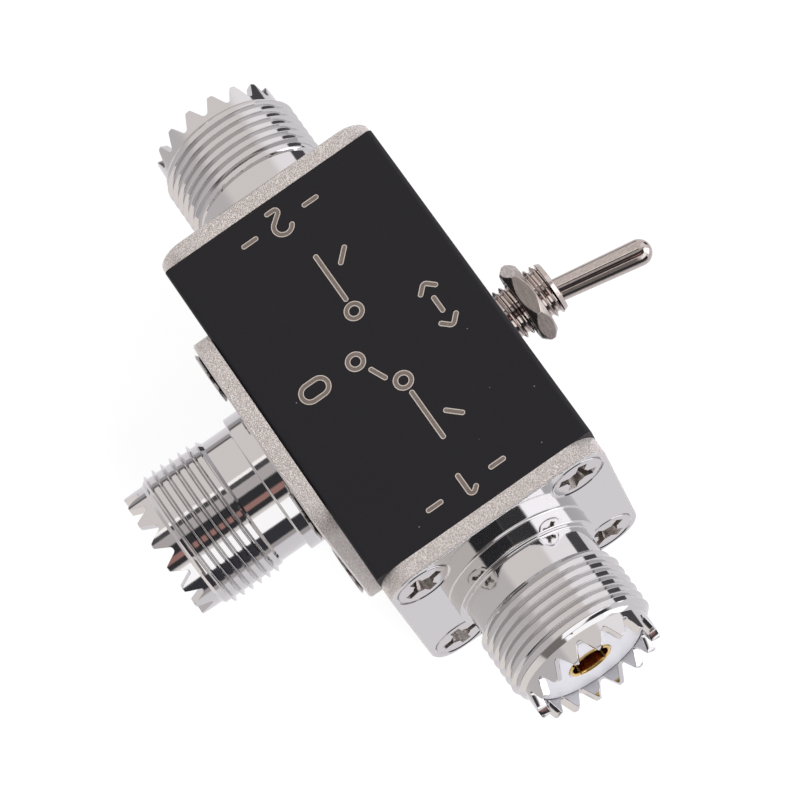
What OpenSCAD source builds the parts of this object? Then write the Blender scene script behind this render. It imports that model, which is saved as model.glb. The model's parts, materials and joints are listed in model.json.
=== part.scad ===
// Coaxial switch: a drilled block, three threaded sockets and a toggle with its works.
// Millimetres. +X runs along the block, +Y points to the toggle, +Z is up.
// The origin is the centre of the block's underside.

/* [Block] */
// Length of the block between the two end flanges
block_len = 40.4; // [39:0.1:50]
// Width of the block from the side flange to the toggle face, and of the end flanges
block_w = 25.4; // [24.8:0.1:27]
// Height of the block and of the three flanges
block_h = 25.4; // [24.8:0.1:27]
// Rounding of the block's long edges
block_edge_r = 0.6; // [0.2:0.1:1.5]
// Radius of the long bore and of the side bore
bore_r = 8.5; // [8.3:0.1:8.8]
// Wall between the switch pocket and the toggle face
toggle_wall = 3; // [2.5:0.1:3.5]

/* [Socket shell] */
// Width of the side socket's flange along the block
flange_w = 25.4; // [24.8:0.1:27]
// Thickness of the flange
flange_t = 1.9; // [1.8:0.1:2.5]
// Corner radius of the flange
flange_corner_r = 3; // [2:0.1:3.4]
// Chamfer round the flange's outer face
flange_chamfer = 0.2; // [0.1:0.05:0.3]
// Radius of the step next to the flange
step_r = 8; // [7.6:0.05:8.3]
// Height of the step next to the flange
step_h = 1.95; // [1.5:0.05:2.5]
// Radius of the waist between the step and the thread
waist_r = 7.25; // [7.1:0.05:7.5]
// Length of the waist
waist_h = 3.05; // [2:0.05:4]
// Major radius of the 5/8 inch, 24 to the inch thread
thread_r = 7.9375; // [7.8:0.0125:8]
// Length of the thread
thread_len = 7.5; // [6:0.1:9]
// Chamfer at each end of the thread
thread_chamfer = 0.45; // [0.2:0.05:0.6]
// Outer radius of the crown
crown_r = 7.15; // [7:0.05:7.4]
// Length of the crown, from the thread to the tooth tips
crown_h = 2.25; // [1.9:0.05:3]
// Inner radius of the shell
shell_bore_r = 6.15; // [5.9:0.05:6.3]
// Depth of the shell's inner shoulder, from the mounting face
shoulder_z = 3; // [2.5:0.1:5]

/* [Crown teeth] */
// Number of teeth
tooth_count = 16; // [12:1:20]
// Depth of the gaps between the teeth
tooth_h = 1.6; // [1:0.05:1.8]
// Rounding at the bottom of the gaps
tooth_gap_r = 0.4; // [0.1:0.05:0.45]
// Width of a tooth at its tip
tooth_tip_w = 0.6; // [0.4:0.05:0.9]

/* [Insulator] */
// How far the insulator's face lies behind the tooth tips
face_recess = 1.6; // [1.5:0.05:2.5]
// Radius of the insulator behind the shoulder
insulator_rear_r = 5; // [4:0.1:5.5]
// How far the insulator stands out behind the flange
insulator_rear_len = 3; // [2:0.1:4]

/* [Centre contact] */
// Radius of the hole for the plug's pin
pin_bore_r = 2; // [1.9:0.05:2.1]
// Depth of the hole for the plug's pin
pin_bore_len = 12; // [10:0.1:13]
// Wall of the contact
contact_wall = 0.4; // [0.3:0.05:0.5]
// How far the contact stands out of the insulator's face
contact_proud = 0.1; // [0.05:0.05:0.4]
// Width of the contact's slots
slot_w = 0.3; // [0.2:0.05:0.6]
// Length of the contact's slots
slot_len = 8; // [5:0.1:10]
// Radius of the collar behind the insulator
collar_r = 3; // [2.8:0.1:3.5]
// Thickness of the collar
collar_t = 0.6; // [0.4:0.1:1]
// Outer radius of the solder cup
cup_r = 2.1; // [2:0.05:2.4]
// Length of the solder cup
cup_len = 3.4; // [3:0.1:4]
// Inner radius of the solder cup
cup_bore_r = 1.5; // [1.45:0.05:1.7]
// Depth of the solder cup
cup_depth = 2.8; // [2.4:0.1:3]

/* [Flange screws] */
// Distance between the screws of a flange
screw_pitch = 18.3; // [18:0.1:18.6]
// Major radius of the screw thread
screw_r = 1.5; // [1.4:0.05:1.6]
// Radius of the countersunk head
screw_head_r = 2.85; // [2.6:0.05:3]
// Height of the countersunk head
screw_head_h = 1.5; // [1.2:0.05:1.6]
// Length of the screw, head included
screw_len = 8; // [6:0.1:9]
// Length of one arm of the cross recess, end to end
recess_len = 3.2; // [2.6:0.1:3.8]
// Width of the cross recess
recess_w = 0.7; // [0.5:0.05:0.9]
// Depth of the cross recess
recess_depth = 1; // [0.6:0.05:1.2]
// How far the side socket's screws stand out of its flange
side_screw_proud = 0.45; // [0:0.05:0.6]

/* [Toggle bushing and nut] */
// Major radius of the bushing thread
bushing_r = 2.95; // [2.9:0.01:3]
// Length of the bushing from the switch frame to its end
bushing_len = 9.4; // [9:0.1:11]
// Chamfer at the end of the bushing
bushing_chamfer = 0.4; // [0.2:0.05:0.5]
// Pitch of the bushing's thread
bushing_pitch = 0.75; // [0.7:0.05:1]
// Depth of the bushing's thread
bushing_thread_depth = 0.3; // [0.2:0.05:0.4]
// Size of the nut across its flats
nut_af = 8; // [7.5:0.1:9]
// Thickness of the nut
nut_t = 1.9; // [1.6:0.05:2.4]
// Gap between the block and the nut
nut_gap = 2.35; // [0.5:0.05:3]
// Turn of the nut about the bushing
nut_turn = 12; // [0:1:59]
// Slope of the cone that takes off the nut's corners, in degrees
nut_cone = 44; // [20:1:50]

/* [Lever] */
// Height of the lever's pivot above the switch frame
pivot_h = 5.6; // [5.4:0.1:6]
// Tilt of the lever to either side of the middle, in degrees
lever_tilt = 11; // [9:0.5:11]
// Length from the pivot to the centre of the round tip
lever_len = 13; // [8:0.1:18]
// Radius of the lever where it leaves the ball
lever_base_r = 1.2; // [1:0.02:1.2]
// Radius of the lever's round tip
lever_tip_r = 1.42; // [1.2:0.02:1.6]
// Radius of the lever's ball
ball_r = 1.85; // [1.8:0.01:1.9]
// Radius of the stem below the ball
stem_r = 0.8; // [0.75:0.01:0.8]
// Length from the pivot to the end of the stem
stem_len = 8.5; // [8:0.1:9]
// Radius of the hole in the stem
stem_bore_r = 0.55; // [0.5:0.01:0.6]
// Depth of the hole in the stem
stem_bore_len = 5; // [4.8:0.1:5.5]
// Radius of the cross pin
lever_pin_r = 0.35; // [0.3:0.01:0.4]
// Length of the cross pin
lever_pin_len = 4.3; // [4.1:0.05:4.4]

/* [Plunger and spring] */
// Radius of the plunger's round tip
plunger_tip_r = 0.9; // [0.7:0.05:1]
// Length of the plunger's shank inside the stem
plunger_shank_len = 3.2; // [2.5:0.1:3.3]
// Travel of the plunger into the stem
plunger_travel = 0.4; // [0.2:0.05:0.6]
// Radius of the spring wire
spring_wire_r = 0.09; // [0.06:0.01:0.1]
// Number of turns of the spring
spring_turns = 6; // [4:1:7]

/* [Switch case and frame] */
// Length of the case
case_len = 13.2; // [13:0.1:13.6]
// Width of the case
case_w = 7.9; // [7.6:0.1:8]
// Depth of the case
case_depth = 9; // [8.8:0.1:9.5]
// Wall of the case
case_wall = 1; // [0.8:0.1:1.1]
// Thickness of the case's floor
case_floor = 1.4; // [1:0.1:1.6]
// Thickness of the frame's sheet
frame_t = 0.5; // [0.4:0.05:0.6]
// Width of the frame's legs
leg_w = 6; // [4:0.1:8]
// Length of the frame's legs
leg_len = 6.5; // [5:0.1:8]
// Width of the case's clips
clip_w = 2.2; // [1.5:0.1:3]
// Height of the case's clips
clip_h = 1; // [0.6:0.1:1.6]

/* [Rocker] */
// Width of the rocker
rocker_w = 3; // [2.5:0.1:3.4]
// Thickness of the rocker
rocker_t = 0.35; // [0.25:0.05:0.4]
// Tilt of the rocker to either side of the middle, in degrees
rocker_tilt = 8; // [6:0.5:8]
// Half width of the rocker's trough
trough_half_w = 2.3; // [2.2:0.1:2.5]
// Length of each of the rocker's arms
rocker_arm_len = 2.6; // [2.4:0.1:2.7]
// Radius of the bead that the rocker tilts on
bead_r = 0.3; // [0.25:0.05:0.3]

/* [Terminals] */
// Distance between neighbouring terminals
lug_pitch = 4.7; // [4.6:0.05:4.8]
// Thickness of the solder lugs
lug_t = 0.8; // [0.6:0.05:0.9]
// Width of the solder lugs
lug_w = 2; // [1.8:0.1:2.4]
// Length of the solder lugs below the case
lug_len = 4.3; // [3.8:0.1:4.4]
// Radius of the hole in the solder lugs
lug_hole_r = 0.6; // [0.55:0.05:0.7]
// Thickness of the terminals' heads
head_t = 0.5; // [0.4:0.05:0.6]
// Height of the saddle under the rocker's bead
saddle_h = 0.4; // [0.4:0.05:0.5]
// Radius of the contact buttons
button_r = 0.8; // [0.6:0.05:0.9]
// Distance of the contact buttons from the middle
button_x = 4.2; // [4.1:0.05:4.3]

/* [Wire links] */
// Radius of the wire
wire_r = 0.5; // [0.4:0.05:0.5]
// Radius of the wire's bends
wire_bend_r = 1.5; // [1.2:0.1:1.8]
// Steepest slope of the wire, in degrees
wire_slope = 45; // [40:1:60]

/* [Hidden] */
$fn = 96;
eps = 0.01;           // overlap that keeps unions and cuts clean
fixed_gap = 0.02;     // clearance round what is pressed or screwed in
running_gap = 0.05;   // clearance round what turns or slides
loose_gap = 0.15;     // clearance under the rocker and round the stem
neck_gap = 0.35;      // clearance round the lever where it leaves the ball
slot_gap = 0.04;      // clearance of a lug in its slot

axis_z = block_h / 2;
barrel_len = step_h + waist_h + thread_len + crown_h;
tip_z = flange_t + barrel_len;
face_z = tip_z - face_recess;
contact_r = pin_bore_r + contact_wall;
cup_end_z = -insulator_rear_len - collar_t - cup_len;
screw_hole_extra = 1;                       // depth of a tapped hole past its screw
tapped_r = screw_r + fixed_gap;

seat_y = block_w / 2 - toggle_wall;         // where the switch frame meets the pocket
case_top = -frame_t;
case_bottom = case_top - case_depth;
floor_z = case_bottom + case_floor;
clip_z = case_top - leg_len / 2;
head_top = floor_z + head_t;
rocker_z = head_top + saddle_h;             // axis of the rocker
trough_z = rocker_z + loose_gap + rocker_t; // lowest point of the trough
tip_reach = pivot_h - trough_z - running_gap - plunger_tip_r;
trough_r = tip_reach / (1 + 2 * rocker_tilt / lever_tilt) + plunger_tip_r + running_gap;
trough_centre_z = trough_z + trough_r;
trough_mid_r = trough_r + rocker_t / 2;
trough_angle = asin(trough_half_w / trough_r);
arm_root = [trough_mid_r * sin(trough_angle),
            trough_centre_z - rocker_z - trough_mid_r * cos(trough_angle)];
closed_h = arm_root[1] * cos(rocker_tilt) - arm_root[0] * sin(rocker_tilt) - rocker_t / 2;
button_top = rocker_z + closed_h - fixed_gap;
plunger_head_z = stem_len + plunger_travel + running_gap;
plunger_shank_r = stem_bore_r - running_gap;

ball_seat_r = ball_r + running_gap;
neck_r = lever_base_r + neck_gap;
neck_h = sqrt(pow(ball_seat_r, 2) - pow(neck_r, 2));
mouth_r = (bushing_len - pivot_h) * tan(lever_tilt) + lever_base_r + neck_gap;
skirt_r = (pivot_h + frame_t) * tan(lever_tilt) + stem_r + loose_gap;
spigot_r = skirt_r + 0.4;                   // outside of the spigot staked in the frame
skirt_h = pivot_h / 2;
keyway_w = 2 * (lever_pin_r + running_gap);
keyway_len = lever_pin_len + 4 * running_gap;

lug_hole_z = case_bottom - lug_len + lug_w / 2;
lug_hole_y = seat_y + lug_hole_z;
cup_tip_x = block_len / 2 + cup_end_z;      // end of the end sockets' solder cups
wire_in_cup = cup_depth - 0.2;

// ---- places: each one turns local +Z to point out of the block ----

module at_ant1() {
    translate([block_len / 2, 0, axis_z]) rotate([0, 90, 0]) children();
}

module at_ant2() {
    translate([-block_len / 2, 0, axis_z]) rotate([0, -90, 0]) children();
}

module at_tx() {
    translate([0, -block_w / 2, axis_z]) rotate([90, 0, 0]) children();
}

module at_toggle() {
    translate([0, seat_y, axis_z]) rotate([-90, 0, 0]) children();
}

// the lever's own frame: its axis is +Z and its pivot is at the origin
module at_lever() {
    at_toggle() translate([0, 0, pivot_h]) rotate([0, lever_tilt, 0]) children();
}

module at_screws() {
    for (sx = [-1, 1], sy = [-1, 1])
        translate([sx * screw_pitch / 2, sy * screw_pitch / 2, 0]) children();
}

// ---- shapes that repeat ----

module round_rect(w, h, r) {
    square([w - 2 * r, h], center = true);
    square([w, h - 2 * r], center = true);
    for (sx = [-1, 1], sy = [-1, 1])
        translate([sx * (w / 2 - r), sy * (h / 2 - r)]) circle(r);
}

// what a chamfer takes off the outer face of a flange w by h
module flange_edge_cut(w, h) {
    c = flange_chamfer;
    for (side = [[0, w, h], [90, h, w]], turn = [0, 180])
        rotate([0, 0, side[0] + turn]) translate([side[1] / 2, 0, flange_t]) rotate([90, 0, 0])
            linear_extrude(side[2] - 2 * (flange_corner_r - eps), center = true)
                polygon([[-c, 0], [0, -c], [eps, -c], [eps, eps], [-c, eps]]);
    for (mx = [0, 1], my = [0, 1])
        mirror([mx, 0, 0]) mirror([0, my, 0])
            translate([w / 2 - flange_corner_r, h / 2 - flange_corner_r, flange_t - c]) difference() {
                cube([flange_corner_r + eps, flange_corner_r + eps, c + eps]);
                cylinder(r1 = flange_corner_r, r2 = flange_corner_r - c, h = c);
                translate([0, 0, c - eps]) cylinder(r = flange_corner_r - c, h = 3 * eps);
            }
}

// the gaps of the crown, each a V with a round bottom that runs out through the wall
module crown_gaps() {
    pitch = 2 * PI * crown_r / tooth_count;
    half_w = (pitch - tooth_tip_w) / 2;
    wall = crown_r - shell_bore_r;
    rise = tooth_h - tooth_gap_r;
    lean = atan2(half_w, rise) - asin(tooth_gap_r / norm([half_w, rise]));
    low = [tooth_gap_r * cos(lean), tooth_gap_r * (1 - sin(lean))];
    for (i = [0:tooth_count - 1])
        rotate([0, 0, i * 360 / tooth_count]) translate([shell_bore_r - wall, 0, tip_z - tooth_h])
            rotate([90, 0, 90]) linear_extrude(3 * wall) {
                translate([0, tooth_gap_r]) circle(tooth_gap_r);
                polygon([[-low[0], low[1]], low, [half_w, tooth_h], [half_w, tooth_h + wall],
                         [-half_w, tooth_h + wall], [-half_w, tooth_h]]);
            }
}

// the outside of the barrel, turned about its axis, with the thread at its full major radius
module barrel() {
    z1 = flange_t + step_h;
    z2 = z1 + waist_h;
    z3 = z2 + thread_len;
    c = thread_chamfer;
    rotate_extrude()
        polygon([[0, flange_t - eps], [step_r, flange_t - eps], [step_r, z1], [waist_r, z1],
                 [waist_r, z2], [thread_r - c, z2], [thread_r, z2 + c], [thread_r, z3 - c],
                 [thread_r - c, z3], [crown_r, z3], [crown_r, tip_z], [0, tip_z]]);
}

// a screw hole with a cone that seats the head, which stands proud of the flange
module countersink(proud) {
    translate([0, 0, -eps]) cylinder(r = tapped_r, h = flange_t + 2 * eps);
    translate([0, 0, flange_t + proud]) {
        translate([0, 0, -screw_head_h])
            cylinder(r1 = tapped_r, r2 = screw_head_r + fixed_gap, h = screw_head_h);
        translate([0, 0, -eps]) cylinder(r = screw_head_r + fixed_gap, h = 2 * eps);
    }
}

// a socket shell whose flange is w by h
module shell(w, h, proud) {
    color([0.82, 0.81, 0.79]) difference() {
        union() {
            linear_extrude(flange_t) round_rect(w, h, flange_corner_r);
            barrel();
        }
        flange_edge_cut(w, h);
        crown_gaps();
        at_screws() countersink(proud);
        translate([0, 0, -eps])
            cylinder(r = insulator_rear_r + fixed_gap, h = shoulder_z + 2 * eps);
        translate([0, 0, shoulder_z]) cylinder(r = shell_bore_r, h = tip_z);
    }
}

module insulator() {
    color([0.93, 0.92, 0.95]) difference() {
        union() {
            translate([0, 0, -insulator_rear_len])
                cylinder(r = insulator_rear_r, h = insulator_rear_len + shoulder_z + eps);
            translate([0, 0, shoulder_z])
                cylinder(r = shell_bore_r - fixed_gap, h = face_z - shoulder_z);
        }
        translate([0, 0, -insulator_rear_len - eps])
            cylinder(r = contact_r + fixed_gap, h = insulator_rear_len + face_z + 2 * eps);
    }
}

module contact() {
    front_z = face_z + contact_proud;
    lead_in = contact_wall / 2;
    color([0.85, 0.66, 0.28]) difference() {
        union() {
            translate([0, 0, cup_end_z]) cylinder(r = cup_r, h = cup_len + collar_t);
            translate([0, 0, -insulator_rear_len - collar_t]) cylinder(r = collar_r, h = collar_t);
            translate([0, 0, -insulator_rear_len - eps])
                cylinder(r = contact_r, h = insulator_rear_len + front_z + eps);
        }
        translate([0, 0, front_z - pin_bore_len]) cylinder(r = pin_bore_r, h = pin_bore_len + eps);
        translate([0, 0, front_z - lead_in])
            cylinder(r1 = pin_bore_r, r2 = pin_bore_r + lead_in, h = lead_in + eps);
        for (turn = [45, 135])
            rotate([0, 0, turn]) translate([-2 * contact_r, -slot_w / 2, front_z - slot_len])
                cube([4 * contact_r, slot_w, slot_len + eps]);
        translate([0, 0, cup_end_z - eps]) cylinder(r = cup_bore_r, h = cup_depth + eps);
        // open side of the solder cup
        translate([cup_bore_r / 3, -cup_r, cup_end_z - eps]) cube([cup_r, 2 * cup_r, cup_depth / 2]);
    }
}

module screw() {
    color([0.7, 0.69, 0.67]) translate([0, 0, flange_t]) difference() {
        union() {
            translate([0, 0, -screw_head_h])
                cylinder(r1 = screw_r, r2 = screw_head_r, h = screw_head_h);
            translate([0, 0, -screw_len]) cylinder(r = screw_r, h = screw_len - screw_head_h + eps);
        }
        for (turn = [0, 90])
            rotate([0, 0, turn]) translate([-recess_len / 2, -recess_w / 2, -recess_depth])
                cube([recess_len, recess_w, recess_depth + eps]);
    }
}

// the four screws of a flange
module screws(proud) {
    translate([0, 0, proud]) at_screws() screw();
}

// ---- block ----

module tapped_holes() {
    depth = screw_len - flange_t + screw_hole_extra;
    at_screws() translate([0, 0, -depth]) cylinder(r = tapped_r, h = depth + eps);
}

module body_block() {
    color([0.09, 0.09, 0.1]) difference() {
        translate([0, 0, axis_z]) rotate([90, 0, 90])
            linear_extrude(block_len, center = true) round_rect(block_w, block_h, block_edge_r);
        translate([0, 0, axis_z]) rotate([0, 90, 0])
            cylinder(r = bore_r, h = block_len + 2 * eps, center = true);
        translate([0, seat_y, axis_z]) rotate([90, 0, 0]) cylinder(r = bore_r, h = block_w);
        at_toggle() cylinder(r = bushing_r + running_gap, h = toggle_wall + eps);
        at_ant1() tapped_holes();
        at_ant2() tapped_holes();
        at_tx() tapped_holes();
    }
}

// ---- wire links ----

// one bend of the wire about the point (x, y), starting at an angle seen from there
module wire_bend(x, y, start, turn) {
    translate([x, y, 0]) rotate([0, 0, start])
        rotate_extrude(angle = turn) translate([wire_bend_r, 0]) circle(wire_r);
}

// an S of wire from the solder cup at +X to the lug's eye, with both ends along X
module end_link() {
    drop = abs(lug_hole_y);
    slope = min(wire_slope, acos(max(0, 1 - drop / (2 * wire_bend_r))));
    run = (drop - 2 * wire_bend_r * (1 - cos(slope))) / sin(slope);
    half_len = wire_bend_r * sin(slope) + run * cos(slope) / 2;
    middle_x = (cup_tip_x + lug_pitch) / 2;
    start_x = cup_tip_x + wire_in_cup;
    end_x = lug_pitch - lug_t;
    color([0.8, 0.78, 0.74]) translate([0, 0, axis_z]) mirror([0, lug_hole_y > 0 ? 1 : 0, 0]) {
        translate([middle_x + half_len - eps, 0, 0]) rotate([0, 90, 0])
            cylinder(r = wire_r, h = start_x - middle_x - half_len + eps);
        wire_bend(middle_x + half_len, -wire_bend_r, 90, slope);
        translate([middle_x, -drop / 2, 0]) rotate([0, 0, slope]) rotate([0, 90, 0])
            cylinder(r = wire_r, h = run + 2 * eps, center = true);
        wire_bend(middle_x - half_len, wire_bend_r - drop, -90, slope);
        translate([end_x, -drop, 0]) rotate([0, 90, 0])
            cylinder(r = wire_r, h = middle_x - half_len - end_x + eps);
    }
}

module ant1_link() {
    end_link();
}

module ant2_link() {
    mirror([1, 0, 0]) end_link();
}

// a straight wire beside the common lug
module tx_link() {
    start_y = -block_w / 2 - cup_end_z - wire_in_cup;
    end_y = lug_hole_y + lug_w / 2;
    color([0.8, 0.78, 0.74])
        translate([lug_t / 2 + wire_r + fixed_gap, start_y, axis_z]) rotate([-90, 0, 0])
            cylinder(r = wire_r, h = end_y - start_y);
}

// ---- toggle ----

// outline points of the thread's grooves between two heights, each a V with a flat bottom
function bushing_grooves(low, high) =
    let (depth = bushing_thread_depth, crest = bushing_pitch / 8, top = (bushing_pitch - crest) / 2,
         bottom = top - depth * tan(30), count = floor((high - low - crest) / bushing_pitch))
    [for (i = [0:count - 1])
        let (z = (low + high) / 2 + (i - (count - 1) / 2) * bushing_pitch, root = bushing_r - depth)
            each [[bushing_r, z - top], [root, z - bottom], [root, z + bottom], [bushing_r, z + top]]];

module switch_bushing() {
    c = bushing_chamfer;
    color([0.75, 0.73, 0.7]) at_toggle() difference() {
        rotate_extrude()
            polygon([[0, -frame_t], [spigot_r, -frame_t], [spigot_r, 0], [bushing_r, 0],
                     [bushing_r, toggle_wall],
                     each bushing_grooves(toggle_wall, bushing_len - c),
                     [bushing_r, bushing_len - c], [bushing_r - c, bushing_len], [0, bushing_len]]);
        translate([0, 0, -frame_t - eps]) cylinder(r = skirt_r, h = skirt_h + frame_t + eps);
        cylinder(r = ball_seat_r, h = pivot_h);
        translate([0, 0, pivot_h]) intersection() {
            sphere(ball_seat_r);
            cylinder(r = ball_seat_r, h = neck_h);
        }
        translate([0, 0, pivot_h + neck_h - eps])
            cylinder(r1 = neck_r, r2 = mouth_r, h = bushing_len - pivot_h - neck_h + 2 * eps);
        // keyways for the ends of the cross pin
        translate([-keyway_w / 2, -keyway_len / 2, -frame_t - eps])
            cube([keyway_w, keyway_len, pivot_h + frame_t + eps]);
        translate([0, 0, pivot_h]) rotate([90, 0, 0])
            cylinder(r = keyway_w / 2, h = keyway_len, center = true);
    }
}

module bushing_nut() {
    corner_r = nut_af / 2 / cos(30);
    chamfer_h = (corner_r - nut_af / 2) * tan(nut_cone);
    color([0.72, 0.69, 0.66]) at_toggle() translate([0, 0, toggle_wall + nut_gap])
        rotate([0, 0, nut_turn]) difference() {
            intersection() {
                cylinder(r = corner_r, h = nut_t, $fn = 6);
                rotate_extrude()
                    polygon([[0, 0], [nut_af / 2, 0], [corner_r, chamfer_h],
                             [corner_r, nut_t - chamfer_h], [nut_af / 2, nut_t], [0, nut_t]]);
            }
            translate([0, 0, -eps]) cylinder(r = bushing_r + fixed_gap, h = nut_t + 2 * eps);
        }
}

module switch_frame() {
    outer_w = case_w + 2 * (frame_t + fixed_gap);
    color([0.66, 0.66, 0.68]) at_toggle() difference() {
        union() {
            translate([0, 0, -frame_t])
                linear_extrude(frame_t) round_rect(case_len, outer_w, frame_t);
            for (side = [-1, 1])
                translate([-leg_w / 2, side * (outer_w - frame_t) / 2 - frame_t / 2, -frame_t - leg_len])
                    cube([leg_w, frame_t, leg_len + eps]);
        }
        translate([0, 0, -frame_t - eps])
            cylinder(r = spigot_r + fixed_gap, h = frame_t + 2 * eps);
        translate([0, 0, clip_z])
            cube([clip_w + 2 * slot_gap, 2 * outer_w, clip_h + 2 * slot_gap], center = true);
    }
}

module switch_case() {
    inner_len = case_len - 2 * case_wall;
    inner_w = case_w - 2 * case_wall;
    color([0.62, 0.12, 0.1]) at_toggle() difference() {
        union() {
            translate([0, 0, case_bottom])
                linear_extrude(case_depth) round_rect(case_len, case_w, case_wall / 2);
            translate([0, 0, clip_z])
                cube([clip_w, case_w + 2 * frame_t, clip_h], center = true);
        }
        translate([-inner_len / 2, -inner_w / 2, floor_z]) cube([inner_len, inner_w, case_depth]);
        for (i = [-1:1])
            translate([i * lug_pitch, 0, case_bottom])
                cube([lug_t + 2 * slot_gap, lug_w + 2 * slot_gap, 3 * case_floor], center = true);
    }
}

module switch_lever() {
    color([0.78, 0.76, 0.74]) at_lever() difference() {
        union() {
            sphere(ball_r);
            cylinder(r1 = lever_base_r, r2 = lever_tip_r, h = lever_len);
            translate([0, 0, lever_len]) sphere(lever_tip_r);
            translate([0, 0, -stem_len]) cylinder(r = stem_r, h = stem_len);
        }
        translate([0, 0, -stem_len - eps]) cylinder(r = stem_bore_r, h = stem_bore_len + eps);
        rotate([90, 0, 0])
            cylinder(r = lever_pin_r + fixed_gap, h = 3 * ball_r, center = true);
    }
}

module lever_pin() {
    color([0.6, 0.6, 0.62]) at_lever() rotate([90, 0, 0])
        cylinder(r = lever_pin_r, h = lever_pin_len, center = true);
}

module plunger() {
    color([0.9, 0.88, 0.8]) at_lever() {
        translate([0, 0, -tip_reach]) sphere(plunger_tip_r);
        translate([0, 0, -tip_reach]) cylinder(r = plunger_tip_r, h = tip_reach - plunger_head_z);
        translate([0, 0, -plunger_head_z - eps])
            cylinder(r = plunger_shank_r, h = plunger_shank_len + eps);
    }
}

// points of a round wire wound into a coil about +Z, ring by ring
function coil_points(mean_r, r, len, turns, sides, steps) =
    [for (i = [0:steps]) let (a = 360 * turns * i / steps, z = len * i / steps)
        for (k = [0:sides - 1]) let (b = 360 * k / sides, out = mean_r + r * cos(b))
            [out * cos(a), out * sin(a), z + r * sin(b)]];

function tube_faces(sides, steps) = concat(
    [[for (k = [0:sides - 1]) k]],
    [for (i = [0:steps - 1], k = [0:sides - 1]) let (n = (k + 1) % sides)
        [i * sides + k, (i + 1) * sides + k, (i + 1) * sides + n, i * sides + n]],
    [[for (k = [sides - 1:-1:0]) steps * sides + k]]);

module plunger_spring() {
    sides = 8;
    steps = 16 * spring_turns;
    mean_r = stem_bore_r - running_gap - spring_wire_r;
    bottom = plunger_head_z - plunger_shank_len;
    top = stem_len - stem_bore_len;
    len = bottom - top - 2 * (spring_wire_r + fixed_gap);
    color([0.7, 0.7, 0.72]) at_lever() translate([0, 0, -bottom + spring_wire_r + fixed_gap])
        polyhedron(coil_points(mean_r, spring_wire_r, len, spring_turns, sides, steps),
                   tube_faces(sides, steps));
}

// the rocker seen from its side, with its axis at the origin
module rocker_profile() {
    centre = trough_centre_z - rocker_z;
    reach = 2 * trough_r;
    translate([0, centre]) intersection() {
        difference() {
            circle(trough_r + rocker_t);
            circle(trough_r);
        }
        polygon([[0, 0], [-reach * sin(trough_angle), -reach * cos(trough_angle)],
                 [reach * sin(trough_angle), -reach * cos(trough_angle)]]);
    }
    for (side = [0, 1])
        mirror([side, 0]) translate(arm_root) rotate(rocker_tilt) {
            circle(rocker_t / 2);
            translate([0, -rocker_t / 2]) square([rocker_arm_len, rocker_t]);
        }
    circle(bead_r);
}

module rocker_contact() {
    color([0.85, 0.84, 0.8]) at_toggle() translate([0, 0, rocker_z]) rotate([0, -rocker_tilt, 0])
        rotate([90, 0, 0]) linear_extrude(rocker_w, center = true) rocker_profile();
}

// a lug that goes down through the case's floor, with a round end and an eye
module lug() {
    rotate([90, 0, 90]) linear_extrude(lug_t, center = true) difference() {
        union() {
            translate([-lug_w / 2, lug_hole_z]) square([lug_w, floor_z - lug_hole_z + eps]);
            translate([0, lug_hole_z]) circle(lug_w / 2);
        }
        translate([0, lug_hole_z]) circle(lug_hole_r);
    }
}

module terminal_common() {
    ear_gap = 0.1;
    ear_t = 0.4;
    ear_w = rocker_w / 2 + ear_gap;
    half_len = 2 * bead_r;
    color([0.8, 0.79, 0.76]) at_toggle() {
        lug();
        translate([-2 * half_len, -ear_w - ear_t, floor_z])
            cube([4 * half_len, 2 * (ear_w + ear_t), head_t]);
        difference() {
            translate([-half_len, -ear_w - ear_t, head_top - eps])
                cube([2 * half_len, 2 * (ear_w + ear_t), saddle_h + eps]);
            translate([0, 0, rocker_z]) rotate([90, 0, 0])
                cylinder(r = bead_r + running_gap, h = 2 * ear_w, center = true);
        }
        for (side = [-1, 1])
            translate([-half_len, side * (ear_w + ear_t / 2) - ear_t / 2, rocker_z - eps])
                cube([2 * half_len, ear_t, 2 * saddle_h]);
    }
}

module side_terminal(side) {
    head_len = 2 * (button_r + fixed_gap) + lug_t / 2;
    head_w = lug_w + lug_t;
    color([0.8, 0.79, 0.76]) at_toggle() mirror([side < 0 ? 1 : 0, 0, 0]) {
        translate([lug_pitch, 0, 0]) lug();
        translate([lug_pitch + lug_t / 2 - head_len, -head_w / 2, floor_z])
            cube([head_len, head_w, head_t]);
        translate([button_x, 0, head_top - eps])
            cylinder(r = button_r, h = button_top - head_top + eps);
    }
}

module terminal_ant1() {
    side_terminal(1);
}

module terminal_ant2() {
    side_terminal(-1);
}

body_block();
at_ant1() shell(block_h, block_w, 0);  // ant1_shell
at_ant1() insulator();  // ant1_insulator
at_ant1() contact();  // ant1_contact
at_ant1() screws(0);  // ant1_screws
ant1_link();
at_ant2() shell(block_h, block_w, 0);  // ant2_shell
at_ant2() insulator();  // ant2_insulator
at_ant2() contact();  // ant2_contact
at_ant2() screws(0);  // ant2_screws
ant2_link();
at_tx() shell(flange_w, block_h, side_screw_proud);  // tx_shell
at_tx() insulator();  // tx_insulator
at_tx() contact();  // tx_contact
at_tx() screws(side_screw_proud);  // tx_screws
tx_link();
switch_bushing();
bushing_nut();
switch_frame();
switch_case();
switch_lever();
lever_pin();
plunger();
plunger_spring();
rocker_contact();
terminal_common();
terminal_ant1();
terminal_ant2();
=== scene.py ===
import json
import math

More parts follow.
